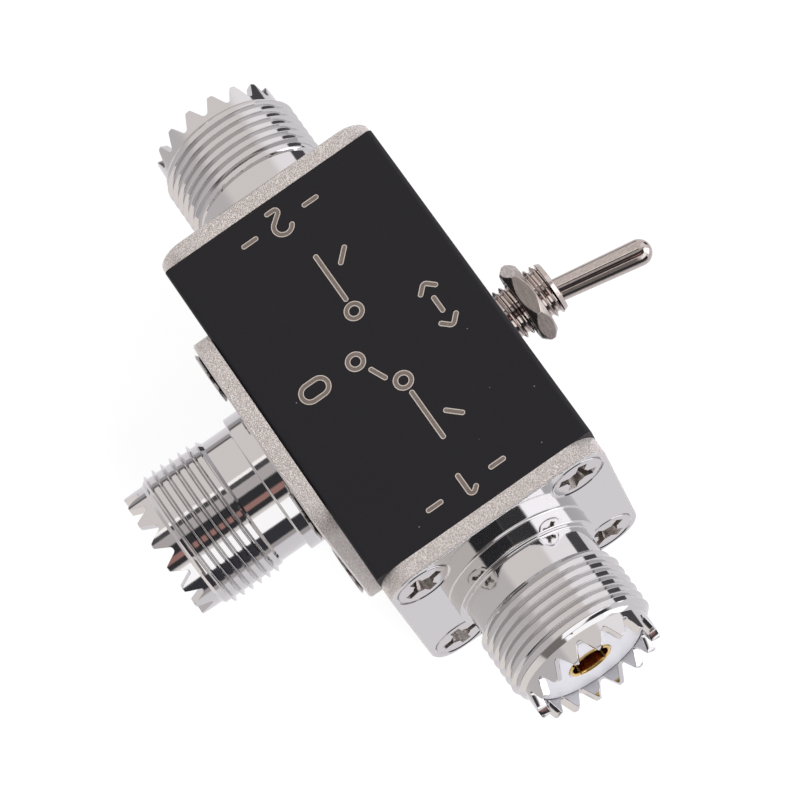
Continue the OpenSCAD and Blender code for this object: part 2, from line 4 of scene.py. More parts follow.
import bmesh
import bpy
import numpy as np
from mathutils import Matrix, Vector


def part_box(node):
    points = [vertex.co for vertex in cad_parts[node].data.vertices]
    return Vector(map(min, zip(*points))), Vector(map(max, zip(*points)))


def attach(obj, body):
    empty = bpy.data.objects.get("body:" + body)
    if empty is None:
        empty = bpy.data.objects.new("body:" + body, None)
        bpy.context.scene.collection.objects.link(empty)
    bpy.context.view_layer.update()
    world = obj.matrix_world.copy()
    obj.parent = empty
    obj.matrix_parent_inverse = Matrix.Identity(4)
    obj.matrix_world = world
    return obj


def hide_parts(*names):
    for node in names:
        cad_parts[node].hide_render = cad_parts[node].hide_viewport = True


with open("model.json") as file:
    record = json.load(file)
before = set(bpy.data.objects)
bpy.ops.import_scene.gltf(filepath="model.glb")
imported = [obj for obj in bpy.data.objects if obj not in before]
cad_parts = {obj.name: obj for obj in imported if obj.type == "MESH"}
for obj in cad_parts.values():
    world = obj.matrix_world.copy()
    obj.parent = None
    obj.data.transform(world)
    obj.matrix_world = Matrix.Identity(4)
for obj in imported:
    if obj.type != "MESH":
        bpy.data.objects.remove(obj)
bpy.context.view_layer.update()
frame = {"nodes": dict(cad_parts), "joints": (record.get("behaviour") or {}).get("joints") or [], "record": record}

mm = 0.001

# places read from the frame, in millimetres
blockLow, blockHigh = (np.array(corner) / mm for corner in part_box("body_block"))
axisZ = (blockLow[2] + blockHigh[2]) / 2
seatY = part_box("switch_frame")[1][1] / mm
leverJoint = next(joint for joint in frame["joints"] if joint["name"] == "lever_tilt")
leverPivot = np.array(leverJoint["pos_m"]) / mm
leverTilt = math.radians(leverJoint["range_deg"][1] / 2)

# each place is an origin and the world directions of its own x, y and z, with z pointing out of the block
places = {
    "ant1": ((blockHigh[0], 0, axisZ), ((0, 0, -1), (0, 1, 0), (1, 0, 0))),
    "ant2": ((blockLow[0], 0, axisZ), ((0, 0, 1), (0, 1, 0), (-1, 0, 0))),
    "tx": ((0, blockLow[1], axisZ), ((1, 0, 0), (0, 0, 1), (0, -1, 0))),
    "toggle": ((0, seatY, axisZ), ((1, 0, 0), (0, 0, -1), (0, 1, 0))),
    "lever": (leverPivot, ((math.cos(leverTilt), -math.sin(leverTilt), 0), (0, 0, -1),
                           (math.sin(leverTilt), math.cos(leverTilt), 0))),
}


# camera, light and floor

cameraView = {
    "place": (149.406, -6.290, 363.368),      # mm, in the part's frame
    "turn": (19.91722, 12.47091, 57.13827),   # degrees about x, y and z
    "lens": 167.99,
    "shift": (0.0211, -0.0226),
}


def linkObject(name, data):
    thing = bpy.data.objects.new(name, data)
    bpy.context.scene.collection.objects.link(thing)
    return thing


def makeCamera():
    data = bpy.data.cameras.new("photoCamera")
    data.sensor_width = 36
    data.lens = cameraView["lens"]
    data.shift_x, data.shift_y = cameraView["shift"]
    data.clip_start = 0.01
    camera = linkObject("photoCamera", data)
    camera.location = [value * mm for value in cameraView["place"]]
    camera.rotation_euler = [math.radians(value) for value in cameraView["turn"]]
    bpy.context.scene.camera = camera


# links a node's inputs to sockets, or sets them to values
def setInputs(tree, node, values):
    for key, value in values.items():
        if isinstance(value, bpy.types.NodeSocket):
            tree.links.new(value, node.inputs[key])
        else:
            node.inputs[key].default_value = value


def addNode(tree, kind, inputs=None, **options):
    node = tree.nodes.new(kind)
    for key, value in options.items():
        setattr(node, key, value)
    setInputs(tree, node, inputs or {})
    return node


# a node group with number inputs and their first values, and number outputs
def newGroup(name, inputs, outputs):
    group = bpy.data.node_groups.new(name, "ShaderNodeTree")
    for label, value in inputs.items():
        socket = group.interface.new_socket(label, in_out="INPUT", socket_type="NodeSocketFloat")
        socket.default_value = value
    for label in outputs:
        group.interface.new_socket(label, in_out="OUTPUT", socket_type="NodeSocketFloat")
    return group, group.nodes.new("NodeGroupInput").outputs, group.nodes.new("NodeGroupOutput")


# places a group in a tree and returns its outputs
def useGroup(tree, group, values):
    node = tree.nodes.new("ShaderNodeGroup")
    node.node_tree = group
    setInputs(tree, node, values)
    return node.outputs


def mathNode(tree, operation, first, second=0.0, third=0.0):
    node = addNode(tree, "ShaderNodeMath", {0: first, 1: second, 2: third}, operation=operation)
    return node.outputs[0]


# a smooth step from 0 at low to 1 at high
def smoothStep(tree, value, low, high):
    inputs = {"Value": value, "From Min": low, "From Max": high}
    node = addNode(tree, "ShaderNodeMapRange", inputs, interpolation_type="SMOOTHSTEP")
    return node.outputs["Result"]


def mixValue(tree, factor, first, second):
    return addNode(tree, "ShaderNodeMix", {0: factor, 2: first, 3: second}).outputs[0]


def mixColor(tree, factor, first, second):
    return addNode(tree, "ShaderNodeMix", {0: factor, 6: first, 7: second}, data_type="RGBA").outputs[2]


# 1 for the rays that mirror or pass through a surface, for which the world shows the studio
def sharpRays(tree, rays):
    return mathNode(tree, "MAXIMUM", rays.outputs["Is Glossy Ray"], rays.outputs["Is Transmission Ray"])


# the studio seen in the metal, as patches over its walls. each has two angles of its middle, two half sizes
# and a soft edge in degrees, then its colour. the sides use the azimuth from +X and the elevation,
# and the overhead ones the angles from straight up towards +X and towards +Y
studio = {
    "walls": (0.96, 0.90, 0.88),
    "lowerHalf": (0.93, 0.90, 0.93),
    "diffuseLevel": 0.57,
    "sides": {
        "nearSide": (-60, 8, 22, 66, 3, (1.08, 1.01, 0.97)),
        "shadedSide": (-103, 8, 22, 66, 5, (0.72, 0.68, 0.68)),
        "sideWall": (105, 20, 19, 26, 4, (1.22, 1.18, 1.20)),
        "sideHorizon": (115, -13, 9, 13.5, 1.5, (0.09, 0.085, 0.09)),
        "sideSoftbox": (66, 12.5, 18, 28.5, 2, (2.30, 2.25, 2.32)),
        "endSoftbox": (19.5, 18.5, 28, 15.5, 1.5, (1.56, 1.54, 1.55)),
        "endShade": (-22, 18, 13.5, 15, 1.5, (0.25, 0.23, 0.22)),
        "endHorizon": (2, -12, 30, 15, 2, (0.05, 0.05, 0.06)),
        "endFloor": (-2, -31, 27, 5, 3, (0.50, 0.46, 0.46)),
        "farHorizon": (180, -2, 24, 3, 1.5, (0.12, 0.11, 0.11)),
        "farFloor": (180, -9, 24, 5, 4, (0.45, 0.42, 0.42)),
    },
    "overhead": {
        "thinLight": (-12.5, 1, 3, 13, 0.8, (1.50, 1.45, 1.42)),
        "thinShade": (-5.5, 1, 4.5, 13, 1, (0.10, 0.095, 0.10)),
        "ceiling": (6.5, 0, 7.5, 60, 2, (0.62, 0.58, 0.57)),
        "shadeLeft": (32.5, -20, 18, 26, 2, (0.045, 0.045, 0.05)),
        "shadeRight": (32.5, 24.5, 18, 19.5, 2, (0.075, 0.074, 0.078)),
        "warmStrip": (36, 2, 4.5, 11, 1.5, (0.46, 0.25, 0.22)),
    },
}


patchAngles = ("Middle Across", "Middle Up", "Half Width", "Half Height", "Soft")


# how much of a patch covers a direction: two smooth steps, across its width and its height
def makePatchGroup():
    inputs = dict.fromkeys(("Across", "Up") + patchAngles, 0.0)
    group, entry, leave = newGroup("studioPatch", inputs, ("Mask",))
    away = mathNode(group, "SUBTRACT", entry["Across"], entry["Middle Across"])
    away = mathNode(group, "ABSOLUTE", mathNode(group, "WRAP", away, -math.pi, math.pi))
    above = mathNode(group, "ABSOLUTE", mathNode(group, "SUBTRACT", entry["Up"], entry["Middle Up"]))
    masks = []
    for distance, half in ((away, entry["Half Width"]), (above, entry["Half Height"])):
        outer = mathNode(group, "ADD", half, entry["Soft"])
        inner = mathNode(group, "SUBTRACT", half, entry["Soft"])
        masks.append(smoothStep(group, distance, outer, inner))
    group.links.new(mathNode(group, "MULTIPLY", *masks), leave.inputs["Mask"])
    return group


# the world: the studio map for the metal, one grey level for what lights the rest, and white for the camera
def makeWorld():
    world = bpy.data.worlds.new("studioWorld")
    bpy.context.scene.world = world
    world.use_nodes = True
    tree = world.node_tree
    tree.nodes.clear()
    direction = addNode(tree, "ShaderNodeTexCoord").outputs["Generated"]
    parts = addNode(tree, "ShaderNodeSeparateXYZ", {0: direction})
    azimuth = mathNode(tree, "ARCTAN2", parts.outputs["Y"], parts.outputs["X"])
    elevation = mathNode(tree, "ARCSINE", parts.outputs["Z"])
    patchGroup = makePatchGroup()
    below = smoothStep(tree, elevation, math.radians(1), math.radians(-1))
    color = mixColor(tree, below, (*studio["walls"], 1), (*studio["lowerHalf"], 1))
    towardX = mathNode(tree, "ARCTAN2", parts.outputs["X"], parts.outputs["Z"])
    towardY = mathNode(tree, "ARCTAN2", parts.outputs["Y"], parts.outputs["Z"])
    for kind, across, up in (("sides", azimuth, elevation), ("overhead", towardX, towardY)):
        for *angles, patchColor in studio[kind].values():
            values = {label: math.radians(angle) for label, angle in zip(patchAngles, angles)}
            patch = useGroup(tree, patchGroup, {"Across": across, "Up": up, **values})
            color = mixColor(tree, patch["Mask"], color, (*patchColor, 1))
    rays = addNode(tree, "ShaderNodeLightPath")
    color = mixColor(tree, sharpRays(tree, rays), (studio["diffuseLevel"],) * 3 + (1,), color)
    color = mixColor(tree, rays.outputs["Is Camera Ray"], color, (1, 1, 1, 1))
    background = addNode(tree, "ShaderNodeBackground", {"Color": color})
    addNode(tree, "ShaderNodeOutputWorld", {"Surface": background.outputs[0]})


floorLook = {
    "size": 2400.0,           # mm
    "drop": 0.02,             # mm under the part
    "glow": 0.90,             # what the camera sees without any light
    "albedo": 0.16,
    "bounce": 0.80,
}


# the floor: the metal looks through it at the lower half of the studio map
def makeFloor():
    half = floorLook["size"] / 2 * mm
    low = -floorLook["drop"] * mm
    mesh = bpy.data.meshes.new("floor")
    corners = [(-half, -half, low), (half, -half, low), (half, half, low), (-half, half, low)]
    mesh.from_pydata(corners, [], [(0, 1, 2, 3)])
    material = bpy.data.materials.new("floorPaper")
    material.use_nodes = True
    tree = material.node_tree
    tree.nodes.clear()
    rays = addNode(tree, "ShaderNodeLightPath")
    soft = rays.outputs["Is Diffuse Ray"]
    glow = mixValue(tree, soft, floorLook["glow"], 0.0)
    white = (floorLook["albedo"],) * 3 + (1,)
    color = mixColor(tree, soft, white, (floorLook["bounce"],) * 3 + (1,))
    emission = addNode(tree, "ShaderNodeEmission", {"Strength": glow})
    diffuse = addNode(tree, "ShaderNodeBsdfDiffuse", {"Color": color})
    both = addNode(tree, "ShaderNodeAddShader", {0: emission.outputs[0], 1: diffuse.outputs[0]})
    clear = addNode(tree, "ShaderNodeBsdfTransparent")
    shaders = {0: sharpRays(tree, rays), 1: both.outputs[0], 2: clear.outputs[0]}
    surface = addNode(tree, "ShaderNodeMixShader", shaders)
    addNode(tree, "ShaderNodeOutputMaterial", {"Surface": surface.outputs[0]})
    mesh.materials.append(material)
    linkObject("floor", mesh)


lamps = {   # place, width and height in mm, and watts
    "keyLamp": ((330, 60, 260), 260, 260, 1.6),
    "sideLamp": ((-80, 380, 200), 300, 220, 1.5),
}


# each lamp's own z axis points away from the middle of the part
def makeLamps():
    for name, (place, width, height, power) in lamps.items():
        data = bpy.data.lights.new(name, "AREA")
        data.shape = "RECTANGLE"
        data.size = width * mm
        data.size_y = height * mm
        data.energy = power
        lamp = linkObject(name, data)
        lamp.visible_glossy = False   # the studio map already shows these in the metal
        spot = np.array(place) * mm
        backward = spot - np.array((0, 0, axisZ * mm))
        backward /= np.linalg.norm(backward)
        sideways = np.cross((0, 0, 1), backward)
        sideways /= np.linalg.norm(sideways)
        upward = np.cross(backward, sideways)
        turn = Matrix(np.column_stack([sideways, upward, backward]).tolist()).to_4x4()
        lamp.matrix_world = Matrix.Translation(spot.tolist()) @ turn


makeCamera()
makeWorld()
makeFloor()
makeLamps()
bpy.context.scene.view_settings.view_transform = "Standard"
print("camera, studio and floor are ready")


# shader groups

def objectPlace(tree):
    return addNode(tree, "ShaderNodeTexCoord").outputs["Object"]


# grain: fine noise whose size is given in millimetres, as a height and as a softened mask
def makeGrainGroup():
    group, entry, leave = newGroup("blastedGrain", {"Size": 0.2, "Contrast": 0.5}, ("Height", "Mask"))
    scale = mathNode(group, "DIVIDE", 1 / mm, entry["Size"])
    inputs = {"Vector": objectPlace(group), "Scale": scale, "Detail": 3.0, "Roughness": 0.6}
    noise = addNode(group, "ShaderNodeTexNoise", inputs)
    half = mathNode(group, "MULTIPLY", entry["Contrast"], 0.5)
    low, high = mathNode(group, "SUBTRACT", 0.5, half), mathNode(group, "ADD", 0.5, half)
    mask = smoothStep(group, noise.outputs["Fac"], low, high)
    group.links.new(noise.outputs["Fac"], leave.inputs["Height"])
    group.links.new(mask, leave.inputs["Mask"])
    return group


# brushed lines: noise squeezed along one axis, so it runs in long scratches along the others
def makeBrushGroup():
    inputs = {"Size": 0.1, "Squeeze X": 1.0, "Squeeze Y": 1.0, "Squeeze Z": 1.0}
    group, entry, leave = newGroup("brushedLines", inputs, ("Height",))
    parts = addNode(group, "ShaderNodeSeparateXYZ", {0: objectPlace(group)})
    squeezed = [mathNode(group, "MULTIPLY", parts.outputs[axis], entry["Squeeze " + axis]) for axis in "XYZ"]
    joined = addNode(group, "ShaderNodeCombineXYZ", dict(enumerate(squeezed)))
    scale = mathNode(group, "DIVIDE", 1 / mm, entry["Size"])
    noise = addNode(group, "ShaderNodeTexNoise", {"Vector": joined.outputs[0], "Scale": scale, "Detail": 2.0})
    group.links.new(noise.outputs["Fac"], leave.inputs["Height"])
    return group


# dust specks: cells of a Voronoi pattern, of which a few hold a small round spot
def makeSpeckGroup():
    group, entry, leave = newGroup("dustSpecks", {"Spacing": 1.2, "Share": 0.1, "Radius": 0.12}, ("Mask",))
    scale = mathNode(group, "DIVIDE", 1 / mm, entry["Spacing"])
    cells = addNode(group, "ShaderNodeTexVoronoi", {"Vector": objectPlace(group), "Scale": scale})
    chosen = addNode(group, "ShaderNodeSeparateColor", {0: cells.outputs["Color"]}).outputs[0]
    chosen = mathNode(group, "LESS_THAN", chosen, entry["Share"])
    inner = mathNode(group, "MULTIPLY", entry["Radius"], 0.5)
    spot = smoothStep(group, cells.outputs["Distance"], entry["Radius"], inner)
    group.links.new(mathNode(group, "MULTIPLY", chosen, spot), leave.inputs["Mask"])
    return group


grainGroup = makeGrainGroup()
brushGroup = makeBrushGroup()
speckGroup = makeSpeckGroup()


# materials

def newMaterial(name):
    material = bpy.data.materials.new(name)
    material.use_nodes = True
    tree = material.node_tree
    tree.nodes.clear()
    shader = tree.nodes.new("ShaderNodeBsdfPrincipled")
    tree.links.new(shader.outputs[0], tree.nodes.new("ShaderNodeOutputMaterial").inputs["Surface"])
    return material, tree, shader


# a bump from a height, whose depth is in millimetres
def bump(tree, height, depth, **under):
    inputs = {"Height": height, "Distance": depth * mm, "Strength": 1.0, **under}
    return addNode(tree, "ShaderNodeBump", inputs).outputs["Normal"]


def grain(tree, size, contrast=0.6):
    return useGroup(tree, grainGroup, {"Size": size, "Contrast": contrast})


# a number that a mesh carries as an attribute
def readMask(tree, label):
    return addNode(tree, "ShaderNodeAttribute", attribute_name=label).outputs["Fac"]


def darkened(tone, share):
    return tuple(value * share for value in tone[:3]) + (1,)


nickelTone = (0.60, 0.595, 0.60, 1)
warmTone = (0.53, 0.475, 0.45, 1)

platingLook = {
    "cloudSize": 0.9,        # mm, patches of uneven gloss
    "cloudGloss": 1.6,       # the roughest of them, times the gloss
    "rippleSize": 0.30,
    "rippleDepth": 0.0012,
}

sandLook = {
    "grainSize": 0.13,       # mm
    "grainDepth": 0.06,
    "contrast": 0.35,
    "darkTone": (0.56, 0.52, 0.495, 1),
    "paleTone": (0.97, 0.935, 0.91, 1),
    "gloss": 0.42,
}


# plated metal with a fine uneven gloss, and a coarser blasted grain where the sand mask says so
def platedMetal(name, tone, gloss, sandy=False):
    material, tree, shader = newMaterial(name)
    cloud = grain(tree, platingLook["cloudSize"])
    roughness = mixValue(tree, cloud["Mask"], gloss, gloss * platingLook["cloudGloss"])
    ripple = grain(tree, platingLook["rippleSize"])
    normal = bump(tree, ripple["Height"], platingLook["rippleDepth"])
    color = tone
    if sandy:
        mask = readMask(tree, "sandMask")
        sand = grain(tree, sandLook["grainSize"], sandLook["contrast"])
        height = mathNode(tree, "MULTIPLY", sand["Mask"], mask)
        normal = bump(tree, height, sandLook["grainDepth"], Normal=normal)
        pale = mixColor(tree, sand["Mask"], sandLook["darkTone"], sandLook["paleTone"])
        color = mixColor(tree, mask, tone, pale)
        roughness = mixValue(tree, mask, roughness, sandLook["gloss"])
    setInputs(tree, shader, {"Base Color": color, "Metallic": 1.0, "Roughness": roughness, "Normal": normal})
    return material


blockLook = {
    "speckSpacing": 1.3,     # mm
    "speckShare": 0.13,
    "speckRadius": 0.06,     # of the spacing
    "speckTone": (0.20, 0.20, 0.22, 1),
    "cloudSize": 9.0,
    "cloudContrast": 0.9,
    "cloudTones": ((0.0050, 0.0047, 0.0066, 1), (0.0070, 0.0066, 0.0088, 1)),
    "cloudGloss": (0.40, 0.44),
    "grainSize": 0.16,
    "grainDepth": 0.006,
    "grainContrast": 0.7,
    "grainTone": (0.0085, 0.0080, 0.0104, 1),
    "specular": 0.22,
}


# black anodised metal: faint clouds and grain, with a few pale specks
def blackAnodised():
    look = blockLook
    material, tree, shader = newMaterial("blackAnodised")
    values = {"Spacing": look["speckSpacing"], "Share": look["speckShare"], "Radius": look["speckRadius"]}
    specks = useGroup(tree, speckGroup, values)
    fine = grain(tree, look["grainSize"], look["grainContrast"])
    cloud = grain(tree, look["cloudSize"], look["cloudContrast"])
    base = mixColor(tree, cloud["Mask"], *look["cloudTones"])
    base = mixColor(tree, fine["Mask"], base, look["grainTone"])
    base = mixColor(tree, specks["Mask"], base, look["speckTone"])
    setInputs(tree, shader, {
        "Base Color": base,
        "Roughness": mixValue(tree, cloud["Mask"], *look["cloudGloss"]),
        "Specular IOR Level": look["specular"],
        "Normal": bump(tree, fine["Height"], look["grainDepth"]),
    })
    return material


markLook = {
    "rimWidth": (0.065, 0.115),    # mm from the edge, where the rim's painted highlight ends and the floor's tone begins
    # painted highlight along the rim of each stroke
    "rimHighlightTone": (0.50, 0.44, 0.39, 1),
    "floorTones": ((0.105, 0.083, 0.072, 1), (0.185, 0.152, 0.134, 1)),
    "grainSize": 0.14,
    "grainDepth": 0.015,
}


# engraved line: bare metal that is brown inside, with a pale painted highlight along its rim
def engravedMetal():
    look = markLook
    material, tree, shader = newMaterial("engravedMetal")
    inside = smoothStep(tree, readMask(tree, "rimDistance"), *look["rimWidth"])
    fine = grain(tree, look["grainSize"])
    middle = mixColor(tree, fine["Mask"], *look["floorTones"])
    setInputs(tree, shader, {
        "Base Color": mixColor(tree, inside, look["rimHighlightTone"], middle),
        "Metallic": 0.2,
        "Roughness": 0.55,
        "Normal": bump(tree, fine["Height"], look["grainDepth"]),
    })
    return material


screwLook = {
    "headTone": (0.58, 0.57, 0.57, 1),
    # painted shade: dark and pale grains of colour on the recess's faces
    "recessShadeTones": ((0.20, 0.175, 0.16, 1), (0.50, 0.46, 0.44, 1)),
    "gloss": (0.10, 0.30),         # on the head and in the recess
    "grainSize": 0.22,
    "grainDepth": 0.004,
}


# screw plate that is duller on the faces of the recess, with painted shade that makes them darker and browner
def screwPlated():
    look = screwLook
    material, tree, shader = newMaterial("screwNickel")
    recess = readMask(tree, "recessFace")
    fine = grain(tree, look["grainSize"])
    walls = mixColor(tree, fine["Mask"], *look["recessShadeTones"])
    setInputs(tree, shader, {
        "Base Color": mixColor(tree, recess, look["headTone"], walls),
        "Metallic": 1.0,
        "Roughness": mixValue(tree, recess, *look["gloss"]),
        "Normal": bump(tree, fine["Height"], look["grainDepth"]),
    })
    return material


goldLook = {
    "frontTone": (0.80, 0.58, 0.20, 1),
    # painted shade: the colour deep in the bore
    "boreShadeTone": (0.20, 0.065, 0.018, 1),
    "gloss": (0.12, 0.2),
    "cloudSize": 0.5,
}


# gold with painted shade that turns it dark and red down the bore, where the depth attribute rises from 0 to 1
def goldPlated():
    look = goldLook
    material, tree, shader = newMaterial("goldContact")
    cloud = grain(tree, look["cloudSize"])
    setInputs(tree, shader, {
        "Base Color": mixColor(tree, readMask(tree, "boreDepth"), look["frontTone"], look["boreShadeTone"]),
        "Metallic": 1.0,
        "Roughness": mixValue(tree, cloud["Mask"], *look["gloss"]),
    })
    return material


plasticLook = {
    "grainSize": 0.25,       # mm
    "contrast": 0.8,
    "darkShare": 0.9,        # the darkest grains' tone, as a share of the plain one
}


# moulded plastic with a fine grain
def plainPlastic(name, tone, gloss, grainDepth):
    look = plasticLook
    material, tree, shader = newMaterial(name)
    fine = grain(tree, look["grainSize"], look["contrast"])
    setInputs(tree, shader, {
        "Base Color": mixColor(tree, fine["Mask"], tone, darkened(tone, look["darkShare"])),
        "Roughness": gloss,
        "Normal": bump(tree, fine["Height"], grainDepth),
    })
    return material


brushLook = {
    "between": (0.4, 0.6),   # heights of the noise between which a line turns from dark to bright
    "darkShare": 0.82,       # the dark lines' tone, as a share of the plain one
    "darkGloss": 1.3,        # their roughness, times the gloss
}


# drawn or rolled metal with brushed lines, which run along the axes with the smaller squeeze
def brushedMetal(name, tone, gloss, size, squeeze, depth):
    look = brushLook
    material, tree, shader = newMaterial(name)
    squeezes = {"Squeeze " + axis: value for axis, value in zip("XYZ", squeeze)}
    lines = useGroup(tree, brushGroup, {"Size": size, **squeezes})
    mask = smoothStep(tree, lines["Height"], *look["between"])
    setInputs(tree, shader, {
        "Base Color": mixColor(tree, mask, darkened(tone, look["darkShare"]), tone),
        "Metallic": 1.0,
        "Roughness": mixValue(tree, mask, gloss * look["darkGloss"], gloss),
        "Normal": bump(tree, lines["Height"], depth),
    })
    return material


finishes = {
    "black_anodised": blackAnodised(),
    "nickel_shell": platedMetal("nickelShell", nickelTone, 0.05, sandy=True),
    "screw_nickel": screwPlated(),
    "white_insulator": plainPlastic("whiteInsulator", (0.50, 0.495, 0.535, 1), 0.42, 0.003),
    "gold_contact": goldPlated(),
    "tinned_wire": brushedMetal("tinnedWire", (0.62, 0.60, 0.56, 1), 0.3, 0.15, (0.1, 1, 1), 0.01),
    "bushing_nickel": platedMetal("bushingNickel", warmTone, 0.08),
    "nut_nickel": brushedMetal("nutNickel", (0.50, 0.45, 0.42, 1), 0.26, 0.16, (0.15, 1, 0.15), 0.012),
    "frame_steel": brushedMetal("frameSteel", (0.50, 0.51, 0.54, 1), 0.32, 0.2, (0.1, 1, 1), 0.01),
    "case_plastic": plainPlastic("casePlastic", (0.34, 0.03, 0.025, 1), 0.42, 0.01),
    "lever_nickel": brushedMetal("leverNickel", (0.55, 0.50, 0.475, 1), 0.06, 0.14, (1, 0.35, 1), 0.0012),
    "pin_steel": brushedMetal("pinSteel", (0.40, 0.40, 0.42, 1), 0.26, 0.1, (1, 1, 0.1), 0.006),
    "plunger_plastic": plainPlastic("plungerNylon", (0.72, 0.68, 0.56, 1), 0.4, 0.006),
    "spring_steel": platedMetal("springSteel", (0.42, 0.42, 0.44, 1), 0.22),
    "silver_contact": platedMetal("silverContact", (0.70, 0.69, 0.65, 1), 0.24),
}
print("materials are ready")


# mesh helpers

# quads between neighbouring rows and columns of a grid of points
def gridFaces(rows, columns, start=0):
    index = start + np.arange(rows * columns).reshape(rows, columns)
    corners = (index[:-1, :-1], index[:-1, 1:], index[1:, 1:], index[1:, :-1])
    return np.stack(corners, -1).reshape(-1, 4)


# one closed mesh from several grids in millimetres whose rims meet: doubles are merged and the faces
# turned outwards
def meshFromGrids(name, grids, attributes=None):
    points = np.concatenate([grid.reshape(-1, 3) for grid in grids]) * mm
    starts = np.cumsum([0] + [grid.shape[0] * grid.shape[1] for grid in grids])
    faces = np.concatenate([gridFaces(grid.shape[0], grid.shape[1], start)
                            for grid, start in zip(grids, starts)])
    mesh = bpy.data.meshes.new(name)
    mesh.from_pydata(points.tolist(), [], faces.tolist())
    for label, values in (attributes or {}).items():
        markMesh(mesh, label, values)
    mergeDoubles(mesh)
    return mesh


# distance is in millimetres
def mergeDoubles(mesh, distance=0.0002):
    work = bmesh.new()
    work.from_mesh(mesh)
    bmesh.ops.remove_doubles(work, verts=work.verts, dist=distance * mm)
    bmesh.ops.recalc_face_normals(work, faces=work.faces)
    work.to_mesh(mesh)
    work.free()


# smooth shading, with sharp edges where faces meet at more than an angle in degrees
def smoothFaces(mesh, angle=32):
    mesh.polygons.foreach_set("use_smooth", np.ones(len(mesh.polygons), bool))
    mesh.set_sharp_from_angle(angle=math.radians(angle))


# flat shading for the faces whose normals lie along the given axes, so that the rounded edges beside
# them don't bend their reflections
def flattenPlanes(mesh, axes):
    normals = readVectors(mesh.polygons, "normal")
    mesh.polygons.foreach_set("use_smooth", np.abs(normals[:, axes]).max(1) < 0.9999)


# the values of one kind for every vertex or polygon, as an array of rows of three
def readVectors(parts, label):
    values = np.zeros(len(parts) * 3)
    parts.foreach_get(label, values)
    return values.reshape(-1, 3)


# a number for every point or face, which a material reads
def markMesh(mesh, label, values, domain="POINT"):
    mesh.attributes.new(label, "FLOAT", domain).data.foreach_set("value", values.astype(float).ravel())


# a finished piece with its body, slot and finish, and the CAD nodes that it stands for
def addPiece(name, mesh, slot, body, *nodes, finish=None):
    piece = linkObject(name, mesh)
    mesh.materials.clear()
    mesh.materials.append(finish or finishes[slot])
    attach(piece, body)
    if nodes:
        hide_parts(*nodes)
    return piece


# a new mesh: the base with closed tools cut out of it
def cutAway(base, tools):
    holder = linkObject("work", base)
    helpers = [linkObject("tool", tool) for tool in tools]
    for helper in helpers:
        modifier = holder.modifiers.new("cut", "BOOLEAN")
        modifier.operation = "DIFFERENCE"
        modifier.solver = "EXACT"
        modifier.object = helper
    graph = bpy.context.evaluated_depsgraph_get()
    result = bpy.data.meshes.new_from_object(holder.evaluated_get(graph))
    for thing in [holder] + helpers:
        bpy.data.objects.remove(thing)
    return result


flankSlope = 66     # degrees between a thread's flank and the axis
guardWidth = 0.02   # mm, short strips beside rounded edges, which keep their shading off the long faces


# points about the z axis: x and y are the radius times the cosine and the sine of the angle
def ringGrid(radius, height, angle):
    radius, height, angle = np.broadcast_arrays(radius, height, angle)
    return np.stack([radius * np.cos(angle), radius * np.sin(angle), height], -1)


# one row of a grid for each radius and height of an outline, which may change with the angle
def ringRows(outline, angle):
    return np.stack([ringGrid(radius, height, angle) for radius, height in outline])


# a closed revolve: each point of the outline turned once round the axis
def revolve(outline, steps):
    return ringRows(outline, np.linspace(0, 2 * np.pi, steps + 1))


# points along an arc about a middle, from one angle to another in degrees
def arcPoints(middle, radius, start, end, steps):
    turn = np.radians(np.linspace(start, end, steps + 1))
    return [(middle[0] + radius * math.cos(a), middle[1] + radius * math.sin(a)) for a in turn]


# one turn of a V thread: distance along the axis and radius, from the middle of one root to the next.
# the crest and the root are flats that end in arcs, and straight flanks join the arcs at one slope
def threadTurn(major, pitch, form):
    slope = math.radians(flankSlope)
    crestFlat, crestRound, rootFlat, rootRound = form
    flank = (pitch - crestFlat - rootFlat) / 2 - (crestRound + rootRound) * math.sin(slope)
    depth = (crestRound + rootRound) * (1 - math.cos(slope)) + flank * math.tan(slope)
    turn = np.linspace(0, slope, 3)
    crestOut = crestFlat / 2 + np.sin(turn) * crestRound
    crestRadius = major - crestRound * (1 - np.cos(turn))
    rootOut = np.append(-guardWidth, np.sin(turn) * rootRound) + (rootFlat - pitch) / 2
    rootRadius = major - depth + rootRound * (1 - np.cos(np.append(0, turn)))
    along = np.concatenate([[-pitch / 2], rootOut, -crestOut[::-1], crestOut, -rootOut[::-1], [pitch / 2]])
    ends = [major - depth]
    return along, np.concatenate([ends, rootRadius, crestRadius[::-1], crestRadius, rootRadius[::-1], ends])


# rows of a helical thread between two rings: every row follows the helix, and is held at the ends,
# where a cone of 45 degrees brings the crest down to the ring's radius
def threadRows(angle, low, high, lowRadius, highRadius, major, pitch, form):
    along, radius = threadTurn(major, pitch, form)
    turns = int(math.ceil((high - low) / pitch)) + 2
    shift = (np.arange(turns) - 1)[:, None] * pitch
    start = (low + shift + along[:-1]).ravel()
    rowRadius = np.tile(radius[:-1], turns)
    height = np.clip(start[:, None] + pitch * angle / (2 * np.pi), low, high)
    limit = np.minimum(lowRadius + height - low, highRadius + high - height)
    return np.minimum(rowRadius[:, None], limit), height


# socket shells

